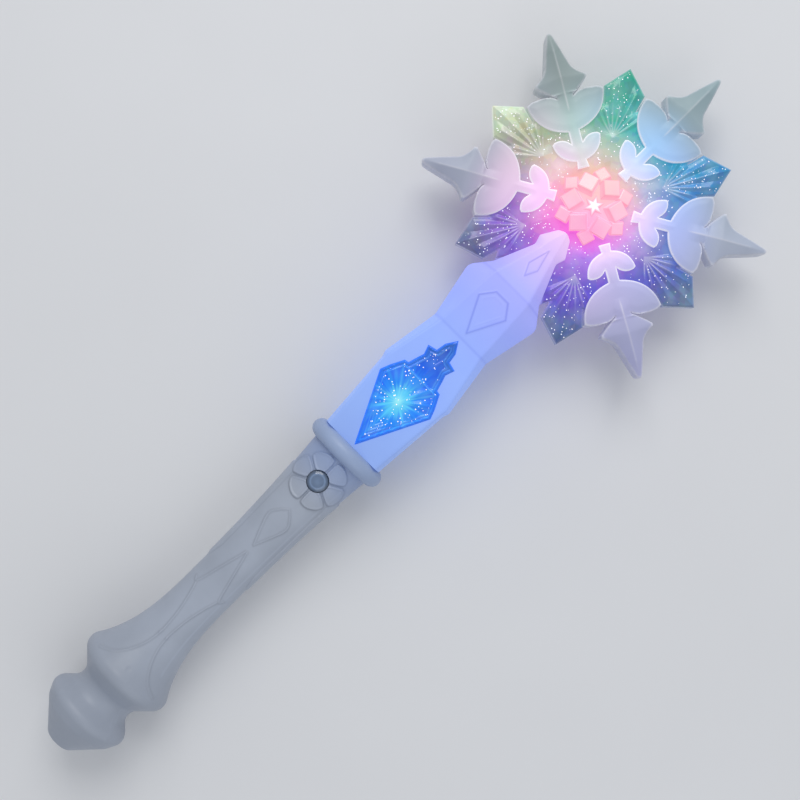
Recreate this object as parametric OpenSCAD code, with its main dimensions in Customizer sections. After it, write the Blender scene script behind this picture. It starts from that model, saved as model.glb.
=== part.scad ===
// A light-up snowflake wand for play, lying on its back with its face up.
// Millimetres. Places along the wand are counted from the flat end of the pommel,
// heights from the plane where the front and rear shells meet.

/* [Handle] */
// Length of the handle, from the pommel's flat end to the collar
handle_len = 171; // [150:0.5:195]
// Diameter of the pommel's flat end, before its edge is rounded
pommel_tip_d = 12.4; // [10:0.2:15]
// Diameter of the pommel at its crease
crease_d = 35.2; // [33:0.2:37]
// Place of the pommel's crease
crease_u = 13; // [11:0.2:14]
// Diameter of the pommel's ridge, before rounding
pommel_d = 41.2; // [39:0.2:44]
// Place of the pommel's ridge
ridge_u = 19.2; // [18:0.2:20]
// Diameter of the waist above the pommel, before rounding
waist_d = 21.8; // [20:0.2:24]
// Place of the waist above the pommel
waist_u = 28.9; // [28:0.1:30]
// Diameter of the flare's rim, before rounding
flare_d = 46; // [44:0.2:49]
// Place of the flare's rim
flare_u = 41.4; // [40.4:0.2:42]
// Diameter of the grip where it is thinnest
grip_d = 22.8; // [20:0.1:26]
// Place where the grip is thinnest
grip_u = 98; // [92:1:106]
// How far the grip's upper end stands out past its thinnest place
neck_flare = 3.2; // [2.4:0.1:4]
// Wall of the handle shells
wall = 1.8; // [1.5:0.1:2.1]
// Height of the raised side panels over the grip
panel_h = 0.5; // [0.3:0.1:0.8]
// Height of the flower petals over the grip
petal_h = 0.8; // [0.5:0.1:1.2]

/* [Button] */
// Diameter of the push button
button_d = 9.4; // [8:0.2:11]
// Distance from the button's centre to the collar
button_drop = 12.5; // [11:0.1:14]
// How far the button can be pressed
button_travel = 1; // [0.6:0.1:1.1]

/* [Battery room] */
// Room between the cells and the grip's outside, front and rear together
cell_room = 12.3; // [12:0.1:13]
// How much wider than a cell the battery door's opening is
door_room = 1.5; // [1:0.1:1.8]
// Gap around the battery door
door_gap = 0.25; // [0.2:0.05:0.35]

/* [Collar and shaft] */
// Outer diameter of the collar
collar_d = 38.4; // [36:0.2:42]
// Height of the collar
collar_h = 8; // [7:0.2:9]
// Width of the shaft's foot
foot_w = 31; // [30:0.2:34]
// Width of the shaft's waist
shaft_waist_w = 30.2; // [28:0.2:32]
// Width of the bulge over the waist, before rounding
bulge_w = 40.6; // [38:0.2:44]
// Distance from the shaft's waist to the bulge
bulge_len = 25; // [22:0.2:29]
// Thickness of the shaft at the gem
shaft_t = 26; // [25:0.2:29]
// Thickness of the shaft at the bulge
bulge_t = 30.6; // [27:0.2:32]
// Width of the finger's neck
finger_neck_w = 12.4; // [11:0.2:14]
// Width of the finger's head
finger_head_w = 15.2; // [14:0.2:18]
// Thickness of the finger through both shells
finger_t = 16; // [14.4:0.2:18]
// Wall of the shaft shells
shaft_wall = 2; // [1.8:0.1:2.2]
// Height of the two round studs under the bulge, which the wand lies on
stud_h = 1; // [0.8:0.1:1.6]

/* [Gem] */
// Width of the gem at its widest
gem_w = 29.8; // [25:0.2:34]
// Length of the gem, from tip to tip
gem_len = 61.6; // [52:0.2:72]
// Shaft left beside the gem at its widest
gem_border = 4.2; // [3.6:0.1:6]
// Shaft left below and above the gem's tips, together
gem_ends = 3; // [2.6:0.1:5]
// How far the gem stands out of the shaft
gem_proud = 0.8; // [0.4:0.1:1.6]

/* [Snowflake] */
// Distance from the bulge to the snowflake's centre
head_len = 55.4; // [50:0.2:64]
// Reach of a branch from the snowflake's centre
arm_reach = 76; // [66:0.5:88]
// Reach of a clear crystal from the snowflake's centre
crystal_reach = 61; // [54:0.5:66]
// Width of a clear crystal
crystal_w = 18; // [16:0.2:19]
// Thickness of the clear plates together
plate_t = 8; // [7.2:0.2:9]
// Thickness of a branch over the plate
branch_h = 2; // [1.6:0.1:3]
// Height of the ridge on a branch's head
ridge_h = 2.4; // [1:0.1:3]
// Width of a branch's head
head_w = 22.4; // [20:0.2:26]
// Width across a branch's outer leaves
outer_leaf_w = 33.6; // [31:0.2:35]
// Width across a branch's inner leaves
inner_leaf_w = 21; // [18:0.2:22]
// Width of a branch's stem
stem_w = 4.8; // [4.4:0.1:5.4]
// Radius of the block cluster at the centre
rosette_r = 16.4; // [14:0.2:18]

/* [Fits] */
// Clearance of pieces that slot into each other
fit = 0.15; // [0.1:0.05:0.2]

/* [Hidden] */
$fn = 64;
ARMS = 5;

// Small functions
function unit(v) = v / norm(v);
function mix(a, b, t) = a + (b - a) * t;
function turned(v, a) = [v.x * cos(a) - v.y * sin(a), v.x * sin(a) + v.y * cos(a)];
function bow(a, b, c, n) = [for (i = [1:n]) let (t = i / n)
  a * (1 - t) * (1 - t) + b * 2 * t * (1 - t) + c * t * t];
function flat2(p) = [p[0], p[1]];

// The arc of radius r at corner b between a and c, in n steps
function corner(a, b, c, r, n) =
  let (p = unit(a - b), q = unit(c - b), h = acos(p * q) / 2, o = b + unit(p + q) * r / sin(h))
  let (s = b + p * r / tan(h) - o, e = b + q * r / tan(h) - o)
  let (way = s.x * e.y - s.y * e.x > 0 ? 1 : -1)
  [for (i = [0:n]) o + turned(s, way * (180 - 2 * h) * i / n)];

// A line through corners given as [x, y, radius]
function rounded(p, n) = [for (i = [0:len(p) - 1])
  each (i == 0 || i == len(p) - 1 || p[i][2] == 0) ? [flat2(p[i])]
    : corner(flat2(p[i - 1]), flat2(p[i]), flat2(p[i + 1]), p[i][2], n)];

// Handle outline as [radius, place]
grip_r = grip_d / 2;
neck_r = grip_r + neck_flare;
bell_u = flare_u + 5;
function handle_r(u) = u < grip_u
  ? grip_r + (flare_d / 2 - grip_r) * pow((grip_u - u) / (grip_u - flare_u), 3.4)
  : grip_r + (neck_r - grip_r) * pow((u - grip_u) / (handle_len - grip_u), 2.1);
function handle_line(n, m) = concat(
  rounded([
    [0, 0, 0],
    [pommel_tip_d / 2, 0, 3],
    [crease_d / 2, crease_u, 3],
    [pommel_d / 2, ridge_u, 4],
    [waist_d / 2, waist_u, 6.5],
    [flare_d / 2, flare_u, 4.7],
    [handle_r(bell_u), bell_u, 0]
  ], n),
  [for (i = [1:m]) let (u = mix(bell_u, grip_u, i / m)) [handle_r(u), u]],
  [for (i = [1:m]) let (u = mix(grip_u + 5, handle_len, i / m)) [handle_r(u), u]]
);
function inset(p, d) = [for (i = [1:len(p) - 2]) let (t = unit(p[i + 1] - p[i - 1])) p[i] - d * [t.y, -t.x]];
outer_line = handle_line(4, 9);
rim_r = max([for (p = outer_line) p.x]);

// Places along the wand
axis_h = max(rim_r, collar_d / 2);
collar_u = handle_len;
shaft_u = collar_u + collar_h;
gem_foot = 1.3;
shaft_waist_rise = gem_len + gem_ends;
shoulder_rise = shaft_waist_rise * 0.5975;
shoulder_w = gem_w + 2 * gem_border;
bulge_rise = shaft_waist_rise + bulge_len;
hub_u = shaft_u + bulge_rise + head_len;
total_len = hub_u + arm_reach;
button_u = handle_len - button_drop;

// Handle's upper end and the shaft's spigot
end_wall = 2.5;
spigot_r = neck_r - 4.1;
spigot_bore = spigot_r - 2.1;
spigot_flange = 2.3;
flange_top = handle_len - end_wall - 0.2;

// Speaker
speaker_r = 10;
speaker_u = flare_u + 2;
speaker_z = -11;
seat_wall = 1.3;

// Battery room: the two cells fill what the handle leaves between the speaker and the button
cell_d = grip_d - cell_room;
cell_z = -2.9;
tray_wall = 1.2;
tray_half = cell_d / 2 + 0.35 + tray_wall;
tray_top = cell_z + cell_d / 2 + 0.2 + 1.35;
tray_low = -sqrt(pow(grip_r - wall - 0.25, 2) - tray_half * tray_half);
strip = 0.4;
lead_d = 1.2;
spring_len = 4.2;
row_hi = button_u - 4.3;
tray_lo = speaker_u + speaker_r + seat_wall + 4.3;
row_lo = tray_lo + tray_wall;
cell_len = (row_hi - row_lo - 2 * strip - spring_len) / 2;
tray_hi = row_hi + tray_wall;
door_lo = tray_lo + 1;
door_hi = button_u + 4.5;
door_w = cell_d + door_room;
door_half = door_w / 2;
barrel_r = 1.1;
lip_z = -handle_r(door_lo);
hinge_z = lip_z + barrel_r + 0.1;
bolt_u = button_u - 0.1;
bolt_seat = 1.55 - handle_r(bolt_u);
rib_us = [tray_lo + 15, tray_hi - 15];

// Circuit board and what stands on it
board_z = tray_top + 0.5;
board_t = 1.2;
board_top = board_z + board_t;
board_lo = button_u - 38.5;
board_hi = flange_top - spigot_flange - 2;
neck_screw_x = neck_r - 5;
board_half = neck_screw_x - 3.1;
post_us = [board_lo + 2.5, button_u - 9];
case_h = 2.6;
case_top = board_top + case_h;
stem_r = 1.7;
stem_base = board_top + 0.5 + button_travel;
button_base = case_top + button_travel + 0.2;
button_flange = 0.7;
well_z = button_base + button_flange + fit;
can_r = 2;
can_lo = board_lo + 7;
can_len = 11;
can_z = board_top + can_r;
ball_r = 1.4;
ball_u = can_lo + 1 + ball_r + 0.1;

// Screws, as [across, place]
screw_r = 1.05;
screw_head_r = 2;
handle_screw_at = [[0, ridge_u - 1.7, 8], [neck_screw_x, board_hi - 1.6, 5],
  [-neck_screw_x, board_hi - 1.6, 5]];
bulge_screw_x = bulge_w / 2 - 8.3;
foot_screw_x = foot_w / 2 - 5.9;
shaft_screw_at = [[0, shaft_u + shaft_waist_rise + 3.6, 5],
  [bulge_screw_x, shaft_u + bulge_rise - 2.6, 5], [-bulge_screw_x, shaft_u + bulge_rise - 2.6, 5],
  [foot_screw_x, shaft_u + 6, 5], [-foot_screw_x, shaft_u + 6, 5]];

// Shaft outline as [place, half width], and its thickness
finger_tip_u = hub_u - rosette_r - 0.5;
finger_neck_u = finger_tip_u - 12.1;
finger_head_u = finger_tip_u - 8.1;
crease2_u = shaft_u + bulge_rise + 5;
stud_u = crease2_u - 3.2;
stud_x = bulge_w / 2 - 12.3;
shaft_line = rounded([
  [shaft_u, foot_w / 2, 0],
  [shaft_u + shoulder_rise - 2.7, shoulder_w / 2 - 0.9, 0],
  [shaft_u + shoulder_rise, shoulder_w / 2, 0],
  [shaft_u + shaft_waist_rise, shaft_waist_w / 2, 0],
  [shaft_u + bulge_rise, bulge_w / 2, 5],
  [shaft_u + bulge_rise + 8.5, bulge_w / 2 - 6.7, 6],
  [finger_neck_u, finger_neck_w / 2, 3],
  [finger_head_u, finger_head_w / 2, 0.8],
  [finger_tip_u - 1, 3.4, 0.6],
  [finger_tip_u, 1.2, 0]
], 3);
half_t = [
  [shaft_u, shaft_t / 2],
  [shaft_u + shaft_waist_rise, shaft_t / 2],
  [crease2_u, bulge_t / 2],
  [finger_neck_u, finger_t / 2],
  [finger_tip_u, finger_t / 2 - 0.8]
];
flat_w = [
  [shaft_u, foot_w / 2 - 1.8],
  [shaft_u + shoulder_rise, shoulder_w / 2 - 1.8],
  [shaft_u + shaft_waist_rise, shaft_waist_w / 2 - 3.4],
  [crease2_u, bulge_w / 2 - 10.4],
  [finger_neck_u, finger_neck_w / 2 - 2.4],
  [finger_tip_u, 0.5]
];
side_h = [
  [shaft_u, shaft_t / 2 - 5],
  [shaft_u + shaft_waist_rise, shaft_t / 2 - 5.5],
  [crease2_u, bulge_t / 2 - 8],
  [finger_neck_u, finger_t / 2 - 2],
  [finger_tip_u, finger_t / 2 - 2]
];
hollow_end_u = shaft_u + bulge_rise + 6;
plate_half = plate_t / 2;

// Gem outline as [half width, place], from its lower tip to its upper tip
gem_u = shaft_u + gem_foot;
gem_line = [
  [0, 0], [gem_w / 2, gem_len * 0.489], [gem_w / 2 - 1.6, gem_len * 0.557],
  [gem_w / 2 - 4.6, gem_len * 0.652],
  [gem_w / 2 - 6.4, gem_len * 0.657], [gem_w / 2 - 7.8, gem_len * 0.735], [gem_w / 2 - 8.6, gem_len * 0.773],
  [gem_w / 2 - 7.2, gem_len * 0.838], [3.7, gem_len * 0.854], [3, gem_len * 0.925], [0, gem_len]
];
gem_top = shaft_t / 2 + gem_proud;
gem_seat = shaft_t / 2 - shaft_wall;
gem_flange = 1.2;
led_u = gem_u + 0.39 * gem_len;
led_board_z = 1;
led_base = led_board_z + 1.2;
led_tall = gem_seat - gem_flange - 1.2 - led_base;
lead_z = led_base + 2.4;

// Snowflake
hub_hole = 7.5;
hub_board_r = 8.5;
peg_r = 1.3;
peg_rs = [crystal_reach * 0.443, crystal_reach * 0.607];
tongue_half = bulge_screw_x - 5;
anchor_hi = shaft_u + bulge_rise - 6.2;
anchor_lo = anchor_hi - bulge_len * 0.256;
anchor_half = lookup(anchor_lo, shaft_line) - shaft_wall - 1.2;
hub_led_tall = plate_half + 1;
channel_top = plate_half - 1.8;
pocket_top = plate_half - 0.8;
branch_top = plate_half + branch_h;
arm_angles = [0, -60, -120, 120, 60];

// Places the wand on its back, centred along its length
module lay() translate([0, -total_len / 2, axis_h]) children();

// A solid through rings with the same number of points
module skin(rings) {
  n = len(rings[0]);
  m = len(rings);
  sides = [for (k = [0:m - 2], i = [0:n - 1]) let (a = k * n + i, b = k * n + (i + 1) % n)
    each [[b, a, a + n], [b, a + n, b + n]]];
  polyhedron([for (r = rings) each r],
    concat([[for (i = [0:n - 1]) i]], sides, [[for (i = [n - 1:-1:0]) (m - 1) * n + i]]));
}

// A round tube along a path, with flat ends
module tube(path, d, ref = [1, 0, 0]) {
  last = len(path) - 1;
  skin([for (i = [0:last])
    let (t = unit(path[min(i + 1, last)] - path[max(i - 1, 0)]), a = unit(cross(t, ref)), b = cross(t, a))
    [for (k = [0:7]) path[i] + d / 2 * (a * cos(45 * k) + b * sin(45 * k))]]);
}
// A smooth path through points, n steps between each two
function eased(p, n) = concat([p[0]], [for (i = [0:len(p) - 2], k = [1:n])
  let (t = k / n, a = p[max(i - 1, 0)], b = p[i], c = p[i + 1], d = p[min(i + 2, len(p) - 1)])
  b + (c - a) * t / 2 + (2 * a - 5 * b + 4 * c - d) * t * t / 2 + (3 * b - a - 3 * c + d) * t * t * t / 2]);

// The same path with straight ends
function strung(p, n) = concat([p[0]], eased([for (i = [1:len(p) - 2]) p[i]], n), [p[len(p) - 1]]);

// Half of a shell turned about the wand's axis: side 1 is the front, -1 the rear
module turned_half(side, line) rotate([-90, 0, 0])
  rotate_extrude(angle = 180, start = side > 0 ? 180 : 0) polygon(line);
module handle_shell(side) {
  inner = [for (p = inset(handle_line(2, 6), wall)) if (p.x > 1 && p.y < handle_len - end_wall - 1) p];
  turned_half(side, concat(
    outer_line,
    [[spigot_r + fit, handle_len], [spigot_r + fit, handle_len - end_wall]],
    [[handle_r(handle_len - end_wall) - wall, handle_len - end_wall]],
    [for (i = [len(inner) - 1:-1:0]) inner[i]],
    [[0, wall]]
  ));
}
// The handle up to the middle of its wall, to end ribs and posts in
module handle_core(side) {
  line = [for (p = inset(handle_line(2, 6), wall / 2)) if (p.y < handle_len - 1) p];
  turned_half(side, concat([[0, wall / 2]], line, [[0, line[len(line) - 1].y]]));
}
// A skin on the grip between two places, from lo to hi over its surface
module grip_skin(side, u0, u1, lo, hi) {
  n = 6;
  turned_half(side, concat(
    [for (i = [0:n]) let (u = mix(u0, u1, i / n)) [handle_r(u) + hi, u]],
    [for (i = [n:-1:0]) let (u = mix(u0, u1, i / n)) [handle_r(u) + lo, u]]
  ));
}
// The raised panels on both sides of the grip
module panels(side) intersection() {
  grip_skin(side, grip_u + 5, button_u - 1.7, -0.6, panel_h);
  for (s = [-1, 1]) linear_extrude(40, center = true) polygon([
    [s * (grip_r - 0.5), grip_u + 4], [s * 30, grip_u + 4], [s * 30, button_u - 1],
    [s * (grip_r - 0.9), button_u - 1], [s * (grip_r - 1.8), grip_u + 12]
  ]);
}
// The six petals around the button
petal_in = button_d / 2 + 1.5;
petal_mid = petal_in + 4;
petal_out = petal_in + 5.8;
module petals() intersection() {
  grip_skin(1, button_u - 13, handle_len - 0.3, -0.6, petal_h);
  translate([0, button_u, 0]) linear_extrude(40) for (a = [0:60:300]) rotate(a) polygon([
    petal_in * [cos(18), -sin(18)], petal_mid * [cos(25), -sin(25)], [petal_out, 0],
    petal_mid * [cos(25), sin(25)], petal_in * [cos(18), sin(18)]
  ]);
}
// A straight round post between two heights
module post(x, u, z0, z1, r) translate([x, u, z0]) cylinder(r = r, h = z1 - z0);

// Screws that come from the rear: a pilot in the front, a sunk head in the rear
module screw_bosses(at, side) for (s = at)
  if (side > 0) post(s[0], s[1], 0, 40, screw_r + 1.15);
  else post(s[0], s[1], -40, 0, screw_head_r + 1.2);
module screw_holes(at, side) for (s = at)
  if (side > 0) post(s[0], s[1], -1, s[2] + 0.5, screw_r + fit);
  else {
    post(s[0], s[1], -s[2] - 1, 1, screw_r + fit);
    post(s[0], s[1], -40, -s[2], screw_head_r + 0.3);
  }
module screws(at) for (s = at) {
  post(s[0], s[1], -s[2] - 1.6, -s[2], screw_head_r);
  post(s[0], s[1], -s[2] - 0.1, s[2], screw_r);
}

module handle_front() color("lightsteelblue") lay() difference() {
  union() {
    handle_shell(1);
    panels(1);
    petals();
    intersection() {
      handle_core(1);
      union() {
        post(0, button_u, well_z, 30, button_d / 2 + 1.6);
        for (u = post_us) post(0, u, board_top, 30, 1.6);
        post(0, speaker_u, 0, 30, 2.5);
        screw_bosses(handle_screw_at, 1);
      }
    }
    post(0, speaker_u, speaker_z + 6.4, 1, 2.5);
  }
  post(0, button_u, 0, 40, button_d / 2 + fit);
  screw_holes(handle_screw_at, 1);
}

// The round hinge of the battery door, across the wand
module barrel(r, half) translate([-half, door_lo, hinge_z]) rotate([0, 90, 0]) cylinder(r = r, h = 2 * half);

module handle_rear() color("lightsteelblue") lay() difference() {
  union() {
    difference() {
      handle_shell(-1);
      translate([-door_half, door_lo, -40]) cube([door_w, door_hi - door_lo, 38]);
    }
    panels(-1);
    intersection() {
      handle_core(-1);
      union() {
        screw_bosses(handle_screw_at, -1);
        difference() {
          post(0, speaker_u, -40, speaker_z + 3, speaker_r + seat_wall);
          post(0, speaker_u, speaker_z, 0, speaker_r + fit);
          post(0, speaker_u, -41, 0, speaker_r - 1.4);
        }
        for (u = rib_us, s = [-1, 1]) translate([s > 0 ? door_half : -door_half - 20, u - 0.8, -30])
          cube([20, 1.6, 30 + tray_low]);
        translate([-20, bolt_u - 1.5, -8]) cube([40, 3, 5]);
        post(0, bolt_u, bolt_seat + 1.7, -3, 2.5);
      }
    }
  }
  barrel(barrel_r + 0.2, door_half);
  post(0, bolt_u, bolt_seat, -4.4, screw_r + 0.4);
  screw_holes(handle_screw_at, -1);
  post(0, speaker_u, -40, speaker_z - 1, 1);
  for (a = [0:60:300]) post(4.6 * cos(a), speaker_u + 4.6 * sin(a), -40, speaker_z - 1, 1);
}

module battery_door() color("lightsteelblue") lay() difference() {
  union() {
    intersection() {
      handle_shell(-1);
      translate([-door_half + door_gap, door_lo + door_gap, -40])
        cube([door_w - 2 * door_gap, door_hi - door_lo - 2 * door_gap, 39]);
    }
    intersection() {
      handle_core(-1);
      union() {
        post(0, bolt_u, -40, bolt_seat + 1.5, 3.4);
        translate([-3.5, door_lo + door_gap, -40]) cube([7, 4, 41.3 + lip_z + wall]);
      }
    }
    translate([-3.5, door_lo - 3, lip_z + wall + 0.8]) cube([7, 6, 1.5]);
    barrel(barrel_r, 3.5);
  }
  post(0, bolt_u, -40, bolt_seat, screw_head_r + 0.3);
  post(0, bolt_u, -40, 0, screw_r + fit);
}

module door_screw() color("silver") lay() {
  post(0, bolt_u, bolt_seat - 1.5, bolt_seat, screw_head_r);
  post(0, bolt_u, bolt_seat - 0.1, -5.4, screw_r);
}

module collar_ring() color("lightblue") lay() translate([0, collar_u, 0]) rotate([-90, 0, 0]) {
  h = collar_h / 2;
  rotate_extrude() polygon(concat(
    [[spigot_r + fit, 0]],
    [for (i = [0:12]) [collar_d / 2 - h + h * cos(-90 + 15 * i), h + h * sin(-90 + 15 * i)]],
    [[spigot_r + fit, collar_h]]
  ));
}

module power_button() color("slategray") lay() translate([0, button_u, 0]) rotate_extrude() polygon(concat(
  [[0, button_base], [button_d / 2 + 1.1, button_base], [button_d / 2 + 1.1, button_base + button_flange]],
  [[button_d / 2, button_base + button_flange], [button_d / 2, button_base + 4]],
  [for (i = [1:8]) [button_d / 2 * cos(90 * i / 8), button_base + 4 + 1.4 * sin(90 * i / 8)]]
));

module battery_tray() color("gainsboro") lay() {
  difference() {
    translate([-tray_half, tray_lo, tray_low]) cube([2 * tray_half, tray_hi - tray_lo, tray_top - tray_low]);
    translate([-tray_half + tray_wall, row_lo, tray_low - 1])
      cube([2 * (tray_half - tray_wall), row_hi - row_lo, tray_top - tray_low + 1 - 1.35]);
    translate([-tray_half + tray_wall, row_lo, 0]) cube([2 * (tray_half - tray_wall), 8, 20]);
    translate([-tray_half + tray_wall, row_hi - 4, 0]) cube([2 * (tray_half - tray_wall), 4, 20]);
  }
  for (u = post_us) translate([-5, u - 1.5, tray_top - 0.1]) cube([10, 3, 0.6]);
}

// One cell with its nub towards the collar
module cell(u) translate([0, u, cell_z]) rotate([-90, 0, 0]) {
  cylinder(d = cell_d, h = cell_len - 1);
  cylinder(r = 1.9, h = cell_len);
}
module battery_lower() color("goldenrod") lay() cell(row_lo + strip + spring_len);
module battery_upper() color("goldenrod") lay() cell(row_lo + strip + spring_len + cell_len);

strip_half = cell_d / 2 - 0.85;
strip_top = cell_z + strip_half + 0.2;
module contact_strip(u) translate([-strip_half, u, cell_z - strip_half])
  cube([2 * strip_half, strip, 2 * strip_half + 0.2]);
module spring_plate() color("silver") lay() contact_strip(row_lo);
module end_contact() color("silver") lay() contact_strip(row_hi - strip);
module contact_spring() color("silver") lay() {
  wire = 0.6;
  turns = 3;
  span = spring_len - wire;
  path = [for (i = [0:turns * 12]) let (t = i / (turns * 12), r = mix(cell_d * 0.343, cell_d * 0.21, t))
    [r * cos(30 * i), row_lo + strip + wire / 2 + span * t, cell_z + r * sin(30 * i)]];
  tube(path, wire, [0, 1, 0]);
}

module circuit_board() color("seagreen") lay() translate([-board_half, board_lo, board_z])
  cube([2 * board_half, board_hi - board_lo, board_t]);
module switch_case() color("dimgray") lay() difference() {
  translate([-3, button_u - 3, board_top]) cube([6, 6, case_h]);
  post(0, button_u, board_top + 0.4, 20, stem_r + fit);
}
module switch_stem() color("black") lay() post(0, button_u, stem_base, button_base, stem_r);
module sound_chip() color("black") lay() translate([0, button_u - 15, board_top]) {
  cylinder(r1 = 3.2, r2 = 2.4, h = 0.9);
}
module motion_can() color("silver") lay() difference() {
  union() {
    translate([0, can_lo, can_z]) rotate([-90, 0, 0]) cylinder(r = can_r, h = can_len);
    translate([-1.7, can_lo, board_top]) cube([3.4, can_len, 1.4]);
  }
  translate([0, can_lo + 1, can_z]) rotate([-90, 0, 0]) cylinder(r = ball_r + fit, h = can_len - 2);
}
module motion_ball() color("gold") lay() translate([0, ball_u, can_z]) sphere(r = ball_r);

module speaker_frame() color("dimgray") lay() difference() {
  post(0, speaker_u, speaker_z, speaker_z + 3.4, speaker_r);
  post(0, speaker_u, speaker_z - 1, speaker_z + 0.7, speaker_r - 0.8);
  post(0, speaker_u, speaker_z, speaker_z + 2.6, speaker_r - 1.8);
  post(0, speaker_u, speaker_z, speaker_z + 5, 3);
}
module speaker_cone() color("black") lay() translate([0, speaker_u, speaker_z]) rotate_extrude() polygon([
  [0, 1.6], [2.6, 1.6], [speaker_r - 3, 0.3], [speaker_r - 1, 0.3], [speaker_r - 1, 0.7],
  [speaker_r - 2.9, 0.7], [2.7, 2], [0, 2]
]);
module speaker_magnet() color("silver") lay() post(0, speaker_u, speaker_z + 3.4, speaker_z + 6.4, 5.5);
module handle_screws() color("silver") lay() screws(handle_screw_at);

lead_x = cell_d * 0.2857;
over_board = board_top + 1.4;
module battery_lead_red() color("red") lay()
  tube([for (z = [strip_top, strip_top + 1, board_z - 1, board_z])
    [lead_x, row_hi - lead_d / 2 - 0.05, z]], lead_d);
module battery_lead_black() color("black") lay() tube(strung([
  [lead_x, row_lo + lead_d / 2 + 0.05, strip_top], [lead_x, row_lo + lead_d / 2 + 0.05, strip_top + 1.5],
  [lead_x, row_lo + 3, over_board - 0.4], [lead_x, row_lo + 12, over_board + 0.2],
  [lead_x, mix(row_lo, board_lo, 0.6), over_board], [lead_x, board_lo - 4, over_board],
  [lead_x, board_lo + 0.4, over_board + 0.8], [lead_x, board_lo + 2.4, over_board],
  [lead_x, board_lo + 2.4, board_top]
], 4), lead_d);
module speaker_lead() color("gray") lay() tube(strung([
  [2.4 - speaker_r, speaker_u, speaker_z + 3.4], [2.4 - speaker_r, speaker_u, speaker_z + 5],
  [2.6 - speaker_r, speaker_u + 3, speaker_z + 11], [-lead_x - 2, row_lo - 4, over_board - 1.6],
  [-lead_x, row_lo + 6, over_board], [-lead_x, mix(row_lo, board_lo, 0.6), over_board],
  [-lead_x, board_lo - 4, over_board], [-lead_x, board_lo + 0.4, over_board + 0.8],
  [-lead_x, board_lo + 2.4, over_board], [-lead_x, board_lo + 2.4, board_top]
], 4), lead_d);
module light_lead() color("white") lay() tube(strung([
  [-2, board_hi, board_z + board_t / 2], [-2, board_hi + 1.2, board_z + board_t / 2],
  [-1, handle_len - 2.5, mix(lead_z, board_z, 0.5)], [0, handle_len + 2, lead_z - 0.6],
  [0, shaft_u, lead_z - 1],
  [0, led_u - 14, lead_z], [0, led_u - 8.6, lead_z], [0, led_u - 7, led_base + 1.2], [0, led_u - 7, led_base]
], 4), lead_d);
module hub_lead() color("white") lay() tube(strung([
  [0, led_u + 7, led_base], [0, led_u + 7, led_base + 1.2], [2, led_u + 10, lead_z],
  [6.6, shaft_u + shaft_waist_rise - 8, lead_z - 1.6], [6.6, shaft_u + shaft_waist_rise + 3, lead_z - 3],
  [0.6, anchor_lo - 3, 1.4], [0, anchor_lo + 5, 1.4], [0, mix(anchor_lo, hub_u, 0.5), 1.4],
  [0, hub_u - hub_hole - 4.5, 1.4], [0, hub_u - hub_hole - 1, plate_half - 1.9],
  [0, hub_u - hub_hole + 0.9, plate_half - 1.7], [0, hub_u - hub_hole + 1.9, plate_half - 2.2],
  [0, hub_u - hub_hole + 1.9, board_t / 2]
], 4), lead_d);

// Shaft
function shaft_ring(p, d) =
  let (w = p[1] - d, t = lookup(p[0], half_t) - d)
  let (b = min(lookup(p[0], flat_w) - 0.4 * d, w - 0.2), s = min(lookup(p[0], side_h) - 0.4 * d, t - 0.2))
  [[b, p[0], t], [w, p[0], s], [w, p[0], -s], [b, p[0], -t], [-b, p[0], -t], [-w, p[0], -s], [-w, p[0], s],
    [-b, p[0], t]];
module shaft_loft(d, lo, hi) {
  mid = [for (p = shaft_line) if (p[0] > lo + 0.3 && p[0] < hi - 0.3) p];
  ends = [for (u = [lo, hi]) [u, lookup(u, shaft_line)]];
  skin([for (p = concat([ends[0]], mid, [ends[1]])) shaft_ring(p, d)]);
}
module half_space(side) translate([-100, -10, side > 0 ? 0 : -60]) cube([200, 500, 60]);

// Outline of a clear plate, with the tongue and anchor that the shaft holds
function sector(k) = let (s = [
    [crystal_reach, 0], [crystal_reach - 9.8, crystal_w / 2], [crystal_reach - 17.4, crystal_w / 2 - 2],
    [crystal_reach - 15, crystal_w / 2 + 1.6], [crystal_reach - 18.6, crystal_w / 2 + 2],
    [crystal_reach - 17.4, crystal_w / 2 + 5.4], [crystal_reach - 22, crystal_w / 2 + 6]
  ])
  concat([for (i = [len(s) - 1:-1:1]) turned([s[i].x, -s[i].y], 60 * k)], [for (p = s) turned(p, 60 * k)]);
module plate_outline() {
  translate([0, hub_u]) polygon([for (k = [0:5]) each sector(k)]);
  translate([-tongue_half, anchor_lo]) square([2 * tongue_half, hub_u - anchor_lo]);
  translate([-anchor_half, anchor_lo]) square([2 * anchor_half, anchor_hi - anchor_lo]);
}
module plate_room() translate([0, 0, -plate_half - fit]) linear_extrude(plate_t + 2 * fit)
  offset(delta = 0.3) plate_outline();

module shaft_half(side) {
  difference() {
    union() {
      difference() {
        intersection() {
          shaft_loft(0, shaft_u, finger_tip_u);
          half_space(side);
        }
        shaft_loft(shaft_wall, shaft_u + shaft_wall, hollow_end_u);
      }
      intersection() {
        half_space(side);
        translate([0, flange_top - spigot_flange, 0]) rotate([-90, 0, 0]) {
          cylinder(r = spigot_r, h = shaft_u + 1 - flange_top + spigot_flange);
          cylinder(r = spigot_r + 1.4, h = spigot_flange);
        }
      }
      intersection() {
        shaft_loft(shaft_wall / 2, shaft_u + 0.5, hollow_end_u + 1);
        half_space(side);
        union() {
          screw_bosses(shaft_screw_at, side);
          translate([-tongue_half + 1, anchor_lo + 2, side > 0 ? plate_half + fit : -40 - plate_half - fit])
            cube([2 * tongue_half - 2, 3, 40]);
        }
      }
    }
    translate([0, flange_top - 10, 0]) rotate([-90, 0, 0])
      cylinder(r = spigot_bore, h = shaft_u + 12 - flange_top);
    plate_room();
    screw_holes(shaft_screw_at, side);
  }
}
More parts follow.
